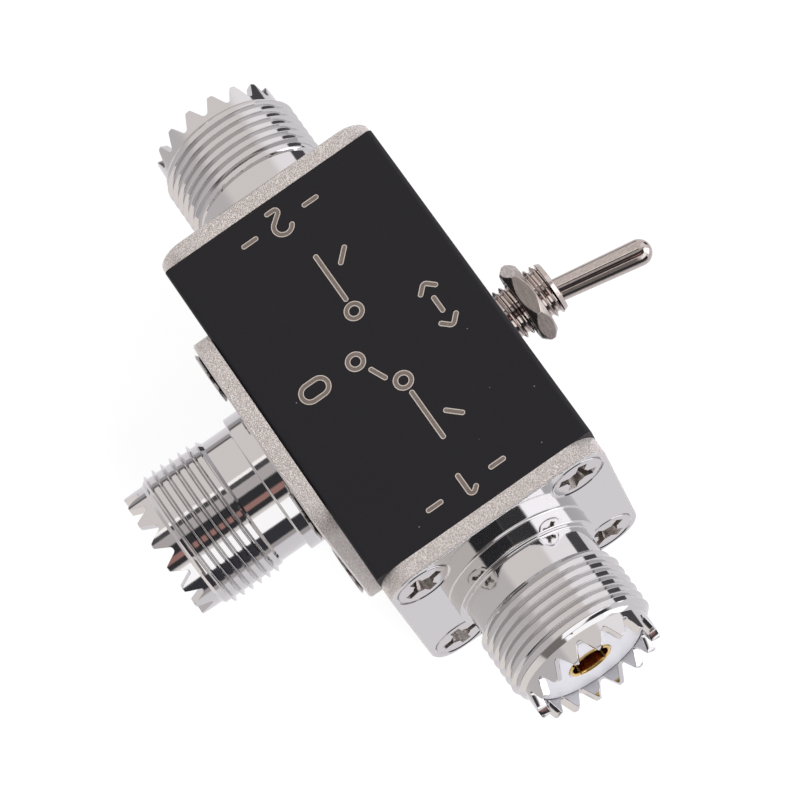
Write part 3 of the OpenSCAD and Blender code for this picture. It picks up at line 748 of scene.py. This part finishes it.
shellSize = {
    "flangeThickness": 1.9,
    "flangeCorner": 3.0,
    "flangeChamfer": 0.2,
    "stepRadius": 8.0,
    "stepHeight": 1.95,
    "stepRound": 0.16,
    "footRound": 0.2,
    "waistRadius": 7.25,
    "waistHeight": 3.05,
    "waistRound": 0.12,
    "threadRadius": 7.9375,
    "threadLength": 7.5,
    "threadPitch": 25.4 / 24,
    "threadForm": (0.03, 0.04, 0.50, 0.05),   # crest's flat and round, root's flat and round
    "crownRadius": 7.15,
    "crownHeight": 2.25,
    "boreRadius": 6.15,
    "rearBoreRadius": 5.02,
    "shoulder": 3.0,
    "teeth": 16,
    "toothHeight": 1.6,
    "toothTip": 0.6,
    "toothSoften": 0.12,     # how far from a tooth's tip its sides start to round
    "gapRound": 0.4,
    "toothEdge": 0.07,
    "screwPitch": 18.3,
    "sinkRadius": 2.87,
    "sinkDepth": 1.5,
    "sinkLip": 0.24,
    "holeRadius": 1.52,
}

screwProud = {"ant1": 0.0, "ant2": 0.0, "tx": 0.45}   # how far the heads stand out of each flange, in mm


# distance from the axis to a rounded square, for each angle: a straight side where the ray meets one,
# and otherwise the far crossing of the ray with the corner's circle
def roundedSquare(angle, half, corner):
    fold = np.abs((angle + np.pi / 4) % (np.pi / 2) - np.pi / 4)
    inner = half - corner
    straight = half / np.cos(fold)
    toMiddle = inner * (np.cos(fold) + np.sin(fold))
    inside = np.maximum(toMiddle ** 2 - 2 * inner ** 2 + corner ** 2, 0)
    curved = toMiddle + np.sqrt(inside)
    return np.where(half * np.tan(fold) > inner, curved, straight)


# columns of the crown: height over the gaps' bottoms and angle at a radius, over all the teeth.
# each gap is a V of constant width with a round bottom, so its angle grows towards the axis
def crownColumns(size):
    outerPitch = 2 * np.pi * size["crownRadius"] / size["teeth"]
    halfGap = (outerPitch - size["toothTip"]) / 2
    rise, bottomRound = size["toothHeight"], size["gapRound"]
    lean = math.atan2(halfGap, rise - bottomRound)
    lean -= math.asin(bottomRound / math.hypot(halfGap, rise - bottomRound))
    roundEnd, roundTop = bottomRound * math.cos(lean), bottomRound * (1 - math.sin(lean))
    side = np.concatenate([np.linspace(0, roundEnd, 5)[:-1], np.linspace(roundEnd, halfGap, 6)])
    curved = bottomRound - np.sqrt(bottomRound ** 2 - np.minimum(side, roundEnd) ** 2)
    height = curved + np.maximum(side - roundEnd, 0) * (rise - roundTop) / (halfGap - roundEnd)
    soften = size["toothSoften"]
    height = height - np.maximum(height - rise + soften, 0) ** 2 / (4 * soften)
    across = np.array([0.06, 0.2, 0.5, 0.8, 0.94])   # shares of the tip's width
    tip = rise - soften / 4 * np.exp(-np.minimum(across, 1 - across) / 0.05)
    share = np.tile(np.concatenate([height, tip, height[:0:-1]]), size["teeth"])

    def anglesAt(radius):
        tooth = 2 * np.pi / size["teeth"]
        gap = np.arcsin(side / radius)
        top = gap[-1] + (tooth - 2 * gap[-1]) * across
        one = np.concatenate([gap, top, tooth - gap[:0:-1]])
        every = one + tooth * np.arange(size["teeth"])[:, None]
        return np.append(every, 2 * np.pi)

    return anglesAt, np.append(share, share[0])


# a shell in one grid, row by row: up the outside, over the crown, down the bore and round the flange
def shellMesh():
    size = shellSize
    flangeTop = size["flangeThickness"]
    stepTop = flangeTop + size["stepHeight"]
    waistTop = stepTop + size["waistHeight"]
    threadTop = waistTop + size["threadLength"]
    tip = threadTop + size["crownHeight"]
    step, waist, crown = size["stepRadius"], size["waistRadius"], size["crownRadius"]
    bore, rear, shoulder = size["boreRadius"], size["rearBoreRadius"], size["shoulder"]
    anglesAt, toothRise = crownColumns(size)
    angle = anglesAt(crown)

    edge, foot, toe = size["stepRound"], size["footRound"], size["waistRound"]
    outside = arcPoints((step + foot, flangeTop + foot), foot, 270, 180, 6)
    outside += [(step, flangeTop + foot + guardWidth), (step, stepTop - edge - guardWidth)]
    outside += arcPoints((step - edge, stepTop - edge), edge, 0, 90, 4)
    outside += [(waist + toe + guardWidth, stepTop), (waist + toe, stepTop)]
    outside += [(waist + toe / 3, stepTop + toe / 3), (waist, stepTop + toe)]
    outside += [(waist, stepTop + toe + guardWidth), (waist, waistTop - guardWidth)]
    threadRadius, threadHeight = threadRows(angle, waistTop, threadTop, waist, crown, size["threadRadius"],
                                            size["threadPitch"], size["threadForm"])

    top = tip - size["toothHeight"] + toothRise
    toothEdge = size["toothEdge"]
    edgeForm = ((0, 1.5), (0, 1), (0.3, 0.3), (1, 0))   # inwards and down from a tooth's edge, in edge widths

    def toothRow(radius, drop):
        return ringGrid(radius, top - drop * toothEdge, anglesAt(radius))[None]

    half, corner, chamfer = blockHigh[1], size["flangeCorner"], size["flangeChamfer"]
    back = roundedSquare(angle, half, corner)
    flange = [(back, 0), (back, flangeTop - chamfer)]
    flange += [(roundedSquare(angle, half - chamfer, corner - chamfer), flangeTop)]
    flange += [(step + foot + 1.0, flangeTop), (step + foot, flangeTop)]
    rows = [ringRows(outside, angle), ringGrid(threadRadius, threadHeight, angle)]
    rows += [ringRows([(crown, threadTop + guardWidth)], angle)]
    rows += [toothRow(crown - inset * toothEdge, drop) for inset, drop in edgeForm]
    rows += [toothRow(bore + inset * toothEdge, drop) for inset, drop in edgeForm[::-1]]
    rows += [ringRows([(bore, tip - size["toothHeight"] - 0.3)], anglesAt(bore))]
    rows += [ringRows([(bore, shoulder), (rear, shoulder), (rear, 0)] + flange, angle)]
    return meshFromGrids("shell", [np.concatenate(rows)])


# the middles of a flange's four screws
def screwSpots():
    half = shellSize["screwPitch"] / 2
    return [(x, y) for x in (-half, half) for y in (-half, half)]


# the cutters of a flange's screw holes, whose cones seat heads that stand proud of the face
def countersinks(proud):
    size = shellSize
    face, hole, lip = size["flangeThickness"], size["holeRadius"], size["sinkLip"]
    low = face + proud - size["sinkDepth"]
    slope = (size["sinkRadius"] - hole) / size["sinkDepth"]
    mouth = hole + (face - low) * slope
    past = 0.5   # how far the cutters pass the flange's faces
    outline = [(0, -past), (hole, -past), (hole, low), (mouth - lip * slope, face - lip),
               (mouth + lip, face + 0.001), (mouth + lip, face + past), (0, face + past)]
    one = revolve(outline, 64)
    return [meshFromGrids("sink", [one + np.array((x, y, 0))]) for x, y in screwSpots()]


# how sandy each point is: 1 on the flange's four narrow sides, 0 elsewhere
def markSand(mesh):
    x, y, z = (readVectors(mesh.vertices, "co") / mm).T
    outline = roundedSquare(np.arctan2(y, x), blockHigh[1], shellSize["flangeCorner"])
    chamferFoot = shellSize["flangeThickness"] - shellSize["flangeChamfer"]
    near = 0.02   # mm
    markMesh(mesh, "sandMask", (np.hypot(x, y) > outline - near) & (z < chamferFoot + near))


# a copy of a mesh made in a place's own frame, turned into the part's frame
def placedCopy(mesh, name, place):
    origin, directions = places[place]
    turn = Matrix(np.array(directions, float).T.tolist()).to_4x4()
    copy = mesh.copy()
    copy.name = name
    copy.transform(Matrix.Translation((np.array(origin) * mm).tolist()) @ turn)
    return copy


# a mesh made for any socket, placed at one of them as its piece
def addAtSocket(place, mesh, piece, slot, node):
    placed = placedCopy(mesh, place + piece[0].upper() + piece[1:], place)
    addPiece(place + "_" + piece, placed, slot, "root", place + "_" + node)


# the shells are copies of one mesh for each height of the screws
def makeShells():
    whole = shellMesh()
    masters = {}
    for place, proud in screwProud.items():
        if proud not in masters:
            masters[proud] = cutAway(whole.copy(), countersinks(proud))
            markSand(masters[proud])
            smoothFaces(masters[proud])
            flattenPlanes(masters[proud], [2])
        addAtSocket(place, masters[proud], "socketShell", "nickel_shell", "shell")


makeShells()
print("socket shells are ready")


# flange screws

screwSize = {
    "shankRadius": 1.46,
    "headRadius": 2.83,
    "headHeight": 1.5,
    "headEdge": ((0, 0.14), (0, 0.08), (0.03, 0.03), (0.10, 0)),   # inwards and down from the rim's corner
    "length": 8.0,
    "endChamfer": 0.3,
    "recessDepth": 1.35,
    # level, reach and width of the recess's wings, then level and radius of its round middle
    "wings": ((0.3, 2.25, 1.10), (0.0, 2.10, 1.04), (-0.60, 1.45, 0.90), (-1.35, 0.65, 0.60)),
    "core": ((0.3, 1.22), (-0.3, 1.12), (-1.35, 0.5)),
}

# how far each screw is turned, in degrees, seen from outside
screwTurns = {
    "ant1": (20, 62, 8, 35),
    "ant2": (12, 51, 30, 75),
    "tx": (28, 66, 15, 80),
}


# the bit that cuts the recess: two crossed plates that narrow and shorten towards a blunt point, and a cone
def crossBit():
    size = screwSize
    tools = []
    level, reach, width = np.array(size["wings"]).T
    corners = np.array([(-1, -1), (1, -1), (1, 1), (-1, 1), (-1, -1)])
    flat = corners * np.stack([reach, width / 2], -1)[:, None]
    points = np.concatenate([flat, np.broadcast_to(level[:, None, None], (len(level), 5, 1))], -1)
    caps = [np.broadcast_to((0, 0, end), (1, 5, 3)) for end in (level[0], level[-1] - 0.12)]
    for turn in np.radians((0, 90)):
        cosine, sine = math.cos(turn), math.sin(turn)
        turned = points @ np.array([[cosine, sine, 0], [-sine, cosine, 0], [0, 0, 1]])
        tools.append(meshFromGrids("bit", [np.concatenate([caps[0], turned, caps[1]])]))
    outline = [(0, size["core"][0][0])] + [(radius, level) for level, radius in size["core"]]
    tools.append(meshFromGrids("bitCone", [revolve(outline + [(0, -size["recessDepth"] - 0.2)], 32)]))
    return tools


# a screw with its head's top at z = 0: shank, cone, short rim with a rounded edge, and the recess cut out
def screwMesh():
    size = screwSize
    rim, shank, end, chamfer = size["headRadius"], size["shankRadius"], -size["length"], size["endChamfer"]
    outline = [(0, end), (shank - chamfer, end), (shank, end + chamfer), (shank, -size["headHeight"])]
    outline += [(rim - inset, -drop) for inset, drop in size["headEdge"]]
    outline += [(rim - 0.5, 0), (0, 0)]
    mesh = cutAway(meshFromGrids("screw", [revolve(outline, 96)]), crossBit())
    smoothFaces(mesh)
    flattenPlanes(mesh, [2])
    markRecess(mesh)
    return mesh


# marks the faces of the recess: below the top and well inside the cone of the head
def markRecess(mesh):
    x, y, z = (readVectors(mesh.polygons, "center") / mm).T
    size = screwSize
    slope = (size["headRadius"] - size["shankRadius"]) / (size["headHeight"] - size["headEdge"][0][1])
    cone = size["shankRadius"] + (z + size["headHeight"]) * slope
    inside = (np.hypot(x, y) < cone - 0.25) & (z < -0.02) & (z > -size["headHeight"])
    markMesh(mesh, "recessFace", inside, "FACE")


# each flange's four screws are one mesh
def makeScrews():
    master = screwMesh()
    top = shellSize["flangeThickness"]
    for place, turns in screwTurns.items():
        work = bmesh.new()
        for (x, y), turn in zip(screwSpots(), turns):
            one = master.copy()
            lift = Matrix.Translation((x * mm, y * mm, (top + screwProud[place]) * mm))
            lift = lift @ Matrix.Rotation(math.radians(turn), 4, "Z")
            one.transform(lift)
            work.from_mesh(one)
            bpy.data.meshes.remove(one)
        together = bpy.data.meshes.new(place + "Screws")
        work.to_mesh(together)
        work.free()
        addAtSocket(place, together, "flangeScrews", "screw_nickel", "screws")


makeScrews()
print("screws are ready")


# insulators and contacts

contactSize = {
    "boreRadius": 2.0,
    "boreLength": 12.0,
    # outwards from the bore and down from the front
    "mouth": ((0, 0.3), (0.06, 0.1), (0.16, 0.02), (0.28, 0), (0.37, 0.04), (0.4, 0.14)),
    "wall": 0.4,
    "proud": 0.1,
    "slotWidth": 0.3,
    "slotLength": 8.0,
    "collarRadius": 3.0,
    "collarThickness": 0.6,
    "cupRadius": 2.1,
    "cupBore": 1.5,
    "cupDepth": 2.8,
    "cupLength": 3.4,
    "faceRecess": 1.6,
    "rearLength": 3.0,
    "darkens": (0.06, 0.31),   # below the front, where the painted shade of the bore starts and where it is full
}

tipHeight = sum(shellSize[key] for key in ("flangeThickness", "stepHeight", "waistHeight", "threadLength",
                                           "crownHeight"))
faceHeight = tipHeight - contactSize["faceRecess"]


# a box between two corners in millimetres
def boxMesh(name, low, high):
    work = bmesh.new()
    bmesh.ops.create_cube(work, size=1)
    mesh = bpy.data.meshes.new(name)
    work.to_mesh(mesh)
    work.free()
    low, high = np.array(low) * mm, np.array(high) * mm
    mesh.transform(Matrix.Translation(((low + high) / 2).tolist()) @ Matrix.Diagonal((*(high - low), 1)))
    return mesh


# a slotted contact tube with a rounded mouth, a collar, and a solder cup that is open at one side
def contactMesh():
    size = contactSize
    bore, collar, cup, cupBore = size["boreRadius"], size["collarRadius"], size["cupRadius"], size["cupBore"]
    front, rear, outer = faceHeight + size["proud"], -size["rearLength"], bore + size["wall"]
    bottom, back = front - size["boreLength"], rear - size["collarThickness"]
    end = back - size["cupLength"]
    floor = end + size["cupDepth"]
    outline = [(0, bottom), (bore, bottom)] + [(bore + out, front - drop) for out, drop in size["mouth"]]
    outline += [(outer, rear), (collar, rear), (collar, back), (cup, back), (cup, end), (cupBore, end),
                (cupBore, floor), (0, floor)]
    mesh = meshFromGrids("contact", [revolve(outline, 128)])
    half = size["slotWidth"] / 2
    tools = [boxMesh("cupSide", (cupBore / 3, -3, end - 1), (4, 3, end + size["cupDepth"] / 2))]
    for turn in (45, 135):
        slot = boxMesh("slot", (-5, -half, front - size["slotLength"]), (5, half, front + 1))
        slot.transform(Matrix.Rotation(math.radians(turn), 4, "Z"))
        tools.append(slot)
    mesh = cutAway(mesh, tools)
    markDepth(mesh, front, outer)
    return mesh


# how deep each point lies in the bore or a slot, which sets the painted shade there: 0 on the front ring and
# outside, rising to 1
def markDepth(mesh, front, outer):
    x, y, z = (readVectors(mesh.vertices, "co") / mm).T
    start, end = contactSize["darkens"]
    depth = np.clip((front - z - start) / (end - start), 0, 1)
    markMesh(mesh, "boreDepth", depth * (np.hypot(x, y) < outer - 0.02))


insulatorSize = {
    "gap": 0.02,             # to the shell and to the contact
    # across and down from the front's outer and inner corners
    "outerEdge": ((0, 0.25), (0.08, 0.07), (0.25, 0)),
    "innerEdge": ((0.35, 0), (0.1, 0.05), (0, 0.16)),
}


# an insulator that fills the shell's bore round the contact, with its front edges rounded
def insulatorMesh():
    size = insulatorSize
    outer, rear = shellSize["boreRadius"] - size["gap"], shellSize["rearBoreRadius"] - size["gap"]
    hole = contactSize["boreRadius"] + contactSize["wall"] + size["gap"]
    back, shoulder = -contactSize["rearLength"], shellSize["shoulder"]
    outline = [(hole, back), (rear, back), (rear, shoulder), (outer, shoulder)]
    outline += [(outer - inset, faceHeight - drop) for inset, drop in size["outerEdge"]]
    outline += [(hole + inset, faceHeight - drop) for inset, drop in size["innerEdge"]]
    return meshFromGrids("insulator", [revolve(outline + [(hole, back)], 128)])


def makeInnerParts():
    contact = contactMesh()
    insulator = insulatorMesh()
    smoothFaces(contact)
    smoothFaces(insulator)
    for place in screwProud:
        addAtSocket(place, contact, "centreContact", "gold_contact", "contact")
        addAtSocket(place, insulator, "whiteInsulator", "white_insulator", "insulator")


makeInnerParts()
print("contacts and insulators are ready")


# toggle

toggleSize = {
    "wall": 3.0,
    "bushingRadius": 2.95,
    "bushingLength": 9.4,
    "threadInset": 0.3,       # how far inside the block's wall the thread starts
    "threadEnd": 8.84,
    "endRingRadius": 2.86,
    "endTaper": 0.14,
    "endRound": 0.16,
    "pitch": 0.75,
    "threadForm": (0.08, 0.04, 0.18, 0.05),   # crest's flat and round, root's flat and round
    "pivotHeight": 5.6,
    "ballSeat": 1.9,
    "neckRadius": 1.55,
    "skirtRadius": 2.136,
    "skirtHeight": 2.8,
    "frameThickness": 0.5,
    "spigotRadius": 2.536,
    "pinSlot": (0.4, 2.25),   # half width and half length of the cross pin's slot
    "nutAcross": 8.0,
    "nutThickness": 1.9,
    "nutGap": 2.35,
    "nutTurn": 12.0,
    "nutChamfer": 0.74,
    "nutBore": 2.97,
    "boreChamfer": 0.25,
    "nutEdge": 0.06,
}


# a round rod along y at a height, which reaches the same way to both sides
def rodMesh(name, radius, reach, height):
    rod = meshFromGrids(name, [revolve([(0, -reach), (radius, -reach), (radius, reach), (0, reach)], 32)])
    rod.transform(Matrix.Translation((0, 0, height * mm)) @ Matrix.Rotation(math.pi / 2, 4, "X"))
    return rod


# the bushing in one grid, row by row: spigot, thread, end ring, mouth, ball seat and skirt
def bushingMesh():
    size = toggleSize
    angle = np.linspace(0, 2 * np.pi, 129)
    end, pivot, back = size["bushingLength"], size["pivotHeight"], -size["frameThickness"]
    radius, ringRadius, spigot = size["bushingRadius"], size["endRingRadius"], size["spigotRadius"]
    seat, neck, skirt = size["ballSeat"], size["neckRadius"], size["skirtRadius"]
    mouth = (end - pivot) * math.tan(leverTilt) + neck
    threadStart = size["wall"] - size["threadInset"]
    threadRadius, threadHeight = threadRows(angle, threadStart, size["threadEnd"], radius, ringRadius, radius,
                                            size["pitch"], size["threadForm"])
    tapered, rounding = ringRadius - size["endTaper"], size["endRound"]
    upper = [(ringRadius, size["threadEnd"] + 0.06)]
    upper += arcPoints((tapered - rounding, end - rounding), rounding, 15, 90, 4)
    upper += [(mouth + 0.03, end), (mouth, end - 0.04)]
    neckHeight = math.sqrt(seat ** 2 - neck ** 2)
    upper += [(math.sqrt(seat ** 2 - z * z), pivot + z) for z in np.linspace(neckHeight, 0, 7)]
    upper += [(seat, size["skirtHeight"]), (skirt, size["skirtHeight"]), (skirt, back), (spigot, back)]
    lower = [(spigot, back), (spigot, 0), (radius, 0), (radius, threadStart - 0.05)]
    rows = [ringRows(lower, angle), ringGrid(threadRadius, threadHeight, angle), ringRows(upper, angle)]
    mesh = meshFromGrids("bushing", [np.concatenate(rows)])
    half, reach = size["pinSlot"]
    slot = boxMesh("pinSlot", (-half, -reach, -1), (half, reach, pivot))
    return cutAway(mesh, [slot, rodMesh("pinSlotEnd", half, reach, pivot)])


# distance from the axis to a hexagon for each angle, with a corner at angle 0
def hexagonRadius(angle, across):
    fold = np.abs((angle + np.pi / 6) % (np.pi / 3) - np.pi / 6)
    return across / 2 / np.cos(np.pi / 6 - fold)


# the nut: a hexagon whose corners a cone takes down at both ends, so each flat ends in an arc
def nutMesh():
    size = toggleSize
    angle = np.linspace(0, 2 * np.pi, 145)
    outer = hexagonRadius(angle, size["nutAcross"])
    corner = size["nutAcross"] / 2 / math.cos(math.pi / 6)
    faceRadius = size["nutAcross"] / 2 - 0.12
    drop = (outer - faceRadius) / (corner - faceRadius) * size["nutChamfer"]
    top, bore, chamfer = size["nutThickness"], size["nutBore"], size["boreChamfer"]
    outline = [(bore, chamfer), (bore + chamfer, 0), (faceRadius, 0), (outer, drop), (outer, top - drop),
               (faceRadius, top), (bore + chamfer, top), (bore, top - chamfer), (bore, chamfer)]
    mesh = meshFromGrids("nut", [ringRows(outline, angle)])
    lift = Matrix.Translation((0, 0, (size["wall"] + size["nutGap"]) * mm))
    mesh.transform(lift @ Matrix.Rotation(math.radians(size["nutTurn"]), 4, "Z"))
    return mesh


leverSize = {
    "baseRadius": 1.2,
    "tipRadius": 1.42,
    "ball": 1.85,
    "length": 13.0,
    "capStart": 6.8755,      # degrees, where the round tip takes over from the taper
    "neckFoot": (0.01, 0.1), # out and up from where the ball ends, the point that the taper starts from
    "stemRadius": 0.8,
    "stemLength": 8.5,
    "stemBore": 0.55,
    "stemBoreLength": 5.0,
    "pinHole": 0.37,
}


# the lever as one revolve: bored stem, ball, tapered bat and round tip, with a hole for the cross pin
def leverMesh():
    size = leverSize
    ball, base, tip, length = size["ball"], size["baseRadius"], size["tipRadius"], size["length"]
    stem, bore, end = size["stemRadius"], size["stemBore"], -size["stemLength"]
    boreTop = end + size["stemBoreLength"]
    neckTop = math.sqrt(ball ** 2 - base ** 2)
    low, high = (math.degrees(math.acos(radius / ball)) for radius in (stem, base))
    outline = [(0, boreTop), (bore, boreTop), (bore, end), (stem, end)]
    outline += arcPoints((0, 0), ball, -low, high, 24)
    outline += [(base + size["neckFoot"][0], neckTop + size["neckFoot"][1])]
    outline += [(base + (tip - base) * z / length, z) for z in np.linspace(neckTop + 0.25, length, 12)]
    outline += arcPoints((0, length), tip, size["capStart"], 90, 13)
    mesh = meshFromGrids("lever", [revolve(outline, 96)])
    return cutAway(mesh, [rodMesh("pinHole", size["pinHole"], 3, 0)])


def makeToggle():
    bushing = placedCopy(bushingMesh(), "bushingThread", "toggle")
    nut = placedCopy(nutMesh(), "nutHexagon", "toggle")
    lever = placedCopy(leverMesh(), "leverBat", "lever")
    for mesh in (bushing, lever):
        smoothFaces(mesh)
    smoothFaces(nut, 20)
    addPiece("threadedBushing", bushing, "bushing_nickel", "root", "switch_bushing")
    piece = addPiece("hexagonNut", nut, "nut_nickel", "root", "bushing_nut")
    bevel = piece.modifiers.new("edges", "BEVEL")
    bevel.width = toggleSize["nutEdge"] * mm
    bevel.segments = 2
    bevel.limit_method = "ANGLE"
    bevel.angle_limit = math.radians(25)
    addPiece("batLever", lever, "lever_nickel", "lever", "switch_lever")


makeToggle()
print("toggle is ready")


# block and its engraved marks

markSize = {
    "width": 0.57,
    "depth": 0.09,
    "sunk": 0.012,               # how far the strokes' tops lie below the face
    "clearance": 0.01,           # between the strokes and their grooves
    "spacing": 0.06,             # of the points along a stroke
    "numeralHeight": 3.0,
    "numeralRound": 0.95,
    "numeralCorner": 0.34,
    "endNumeral": (17.4, -0.2),
    "dash": (2.7, 4.7),          # on both sides of each end numeral
    "sideNumeralY": -7.0,
    "ring": 0.8,
    "lineY": 0.7,
    "line": (5.9, 12.2),
    "endRingX": 4.6,
    "tick": ((9.6, 1.5), (11.2, 3.1)),     # over the line
    "middleRingY": -2.8,
    "arm": ((1.4, -2.1), (3.5, -1.2)),
    "arrowY": 7.9,
    "arrowShaft": 1.1,
    "arrowHead": (1.7, 2.8, 1.1),          # where it starts, its tip and its half width
    "arrowCorner": 0.36,
}


# a path through given corners with each corner rounded by an arc, as evenly spaced points
def roundedPath(corners, rounding):
    spacing = markSize["spacing"]
    corners = [np.array(corner, float) for corner in corners]
    points = [corners[0]]
    for before, here, after in zip(corners, corners[1:], corners[2:]):
        inward, outward = before - here, after - here
        reachIn, reachOut = np.linalg.norm(inward), np.linalg.norm(outward)
        inward, outward = inward / reachIn, outward / reachOut
        half = math.acos(np.clip(inward @ outward, -1, 1)) / 2
        cut = min(rounding / math.tan(half), reachIn * 0.5, reachOut * 0.5)
        radius = cut * math.tan(half)
        middle = here + (inward + outward) / np.linalg.norm(inward + outward) * radius / math.sin(half)
        start, end = here + inward * cut - middle, here + outward * cut - middle
        sweep = math.atan2(start[0] * end[1] - start[1] * end[0], start @ end)
        turns = np.linspace(0, sweep, max(4, int(abs(sweep) * radius / spacing)))
        points += [middle + np.array((math.cos(t) * start[0] - math.sin(t) * start[1],
                                      math.sin(t) * start[0] + math.cos(t) * start[1])) for t in turns]
    points.append(corners[-1])
    points = np.array(points)
    length = np.append(0, np.cumsum(np.linalg.norm(np.diff(points, axis=0), axis=1)))
    keep = np.append(True, np.diff(length) > 1e-6)
    points, length = points[keep], length[keep]
    even = np.linspace(0, length[-1], max(8, int(length[-1] / spacing)))
    return np.stack([np.interp(even, length, points[:, 0]), np.interp(even, length, points[:, 1])], -1)


# a circle as a closed path, with its last point on its first
def circlePath(middle, radius):
    turn = np.linspace(0, 2 * np.pi, 61)
    return np.stack([middle[0] + radius * np.cos(turn), middle[1] + radius * np.sin(turn)], -1)


# a flat slab along a path: columns run across it, and its width closes to a round cap at each open end
def strokeGrid(path, width, low, high, closed):
    half = width / 2
    step = np.gradient(path, axis=0)
    if closed:
        step[0] = step[-1] = path[1] - path[-2]
    step /= np.linalg.norm(step, axis=1, keepdims=True)
    normal = np.stack([-step[:, 1], step[:, 0]], -1)
    length = np.append(0, np.cumsum(np.linalg.norm(np.diff(path, axis=0), axis=1)))
    fromEnd = np.minimum(length, length[-1] - length)
    overrun = np.where(closed, 0, np.maximum(half - fromEnd, 0))
    reach = np.sqrt(np.maximum(half ** 2 - overrun ** 2, 0))
    across = np.array([-1, -0.75, -0.5, -0.2, 0.2, 0.5, 0.75, 1])
    flat = path[:, None, :] + normal[:, None, :] * (reach[:, None] * across)[..., None]
    rim = half - np.hypot(reach[:, None] * across, overrun[:, None])
    topFace = np.concatenate([flat, np.full(flat.shape[:2] + (1,), high)], -1)
    bottom = np.concatenate([flat[:, ::-1], np.full(flat.shape[:2] + (1,), low)], -1)
    grid = np.concatenate([topFace, bottom, topFace[:, :1]], 1)
    rims = np.concatenate([rim, rim[:, ::-1], rim[:, :1]], 1)
    return grid, rims


# the plain numerals as single strokes: arcs for the round parts and straight runs between them
def numeralPath(numeral, middle, across, upward):
    high, turn, corner = markSize["numeralHeight"], markSize["numeralRound"], markSize["numeralCorner"]

    def arc(height, start, end):
        return arcPoints((0, height), turn, start, end, abs(end - start) // 6 - 1)

    if numeral == "0":
        corners = arc(high - turn, 0, 180) + arc(turn, 180, 360)
        path = roundedPath(corners + corners[:1], 0.02)
    elif numeral == "1":
        path = roundedPath([(-turn, high - turn), (0.15, high), (0.15, 0)], corner)
    else:
        path = roundedPath(arc(high - turn, 172, -44) + [(-turn - 0.05, 0), (turn, 0)], corner)
    path[:, 1] -= high / 2
    return np.array(middle) + path[:, :1] * np.array(across) + path[:, 1:] * np.array(upward), numeral == "0"


# a line diagram of the switch between plain numerals: straight strokes, small rings and two arrow heads
def markPaths():
    size = markSize
    endX, endY = size["endNumeral"]
    lineY, ring, arrowY = size["lineY"], size["ring"], size["arrowY"]
    arrowStart, arrowTip, arrowHalf = size["arrowHead"]
    paths = []

    def stroke(*corners, rounding=1):
        paths.append((roundedPath(corners, rounding), False))

    for numeral, x in (("1", endX), ("2", -endX)):
        paths.append(numeralPath(numeral, (x, endY), (0, -1), (1, 0)))
        for side in (-1, 1):
            stroke(*[(x, side * y + endY) for y in size["dash"]])
    paths.append(numeralPath("0", (0, size["sideNumeralY"]), (1, 0), (0, 1)))
    for side in (-1, 1):
        stroke(*[(side * x, lineY) for x in size["line"]])
        paths.append((circlePath((side * size["endRingX"], lineY), ring), True))
        stroke(*[(side * x, lineY + y) for x, y in size["tick"]])
    paths.append((circlePath((0, lineY + size["middleRingY"]), ring), True))
    stroke(*[(x, lineY + y) for x, y in size["arm"]])
    stroke((-size["arrowShaft"], arrowY), (size["arrowShaft"], arrowY))
    for side in (-1, 1):
        stroke((side * arrowStart, arrowY + arrowHalf), (side * arrowTip, arrowY),
               (side * arrowStart, arrowY - arrowHalf), rounding=size["arrowCorner"])
    return paths


# the block with a groove under each mark, and the marks' floors as one more piece, which stays clear of them
def makeBlock():
    source = frame["nodes"]["body_block"].data.copy()
    mergeDoubles(source, 0.002)
    top, width, clearance = blockHigh[2], markSize["width"], markSize["clearance"]
    bottom = top - markSize["depth"]
    cutters, grids, rims = [], [], []
    for path, closed in markPaths():
        groove, _ = strokeGrid(path, width, bottom, top + 0.2, closed)
        cutters.append(meshFromGrids("groove", [groove]))
        grid, rim = strokeGrid(path, width - clearance, bottom + clearance, top - markSize["sunk"], closed)
        grids.append(grid)
        rims.append(rim.ravel())
    block = cutAway(source, cutters)
    smoothFaces(block, 25)
    flattenPlanes(block, [0, 1, 2])
    marks = meshFromGrids("marks", grids, {"rimDistance": np.concatenate(rims)})
    addPiece("engravedBlock", block, "black_anodised", "root", "body_block")
    addPiece("topMarks", marks, "black_anodised", "root", finish=engravedMetal())


makeBlock()
print("block is ready")


# the finishes of the pieces that keep their CAD shape

slotOf = {part["node"]: part["material_slot"] for part in frame["record"]["subparts"]}
for name, node in frame["nodes"].items():
    if node.hide_render:
        continue
    if not node.material_slots:
        node.data.materials.append(None)
    for materialSlot in node.material_slots:
        materialSlot.material = finishes[slotOf[name]]
print("inner pieces have their finishes")
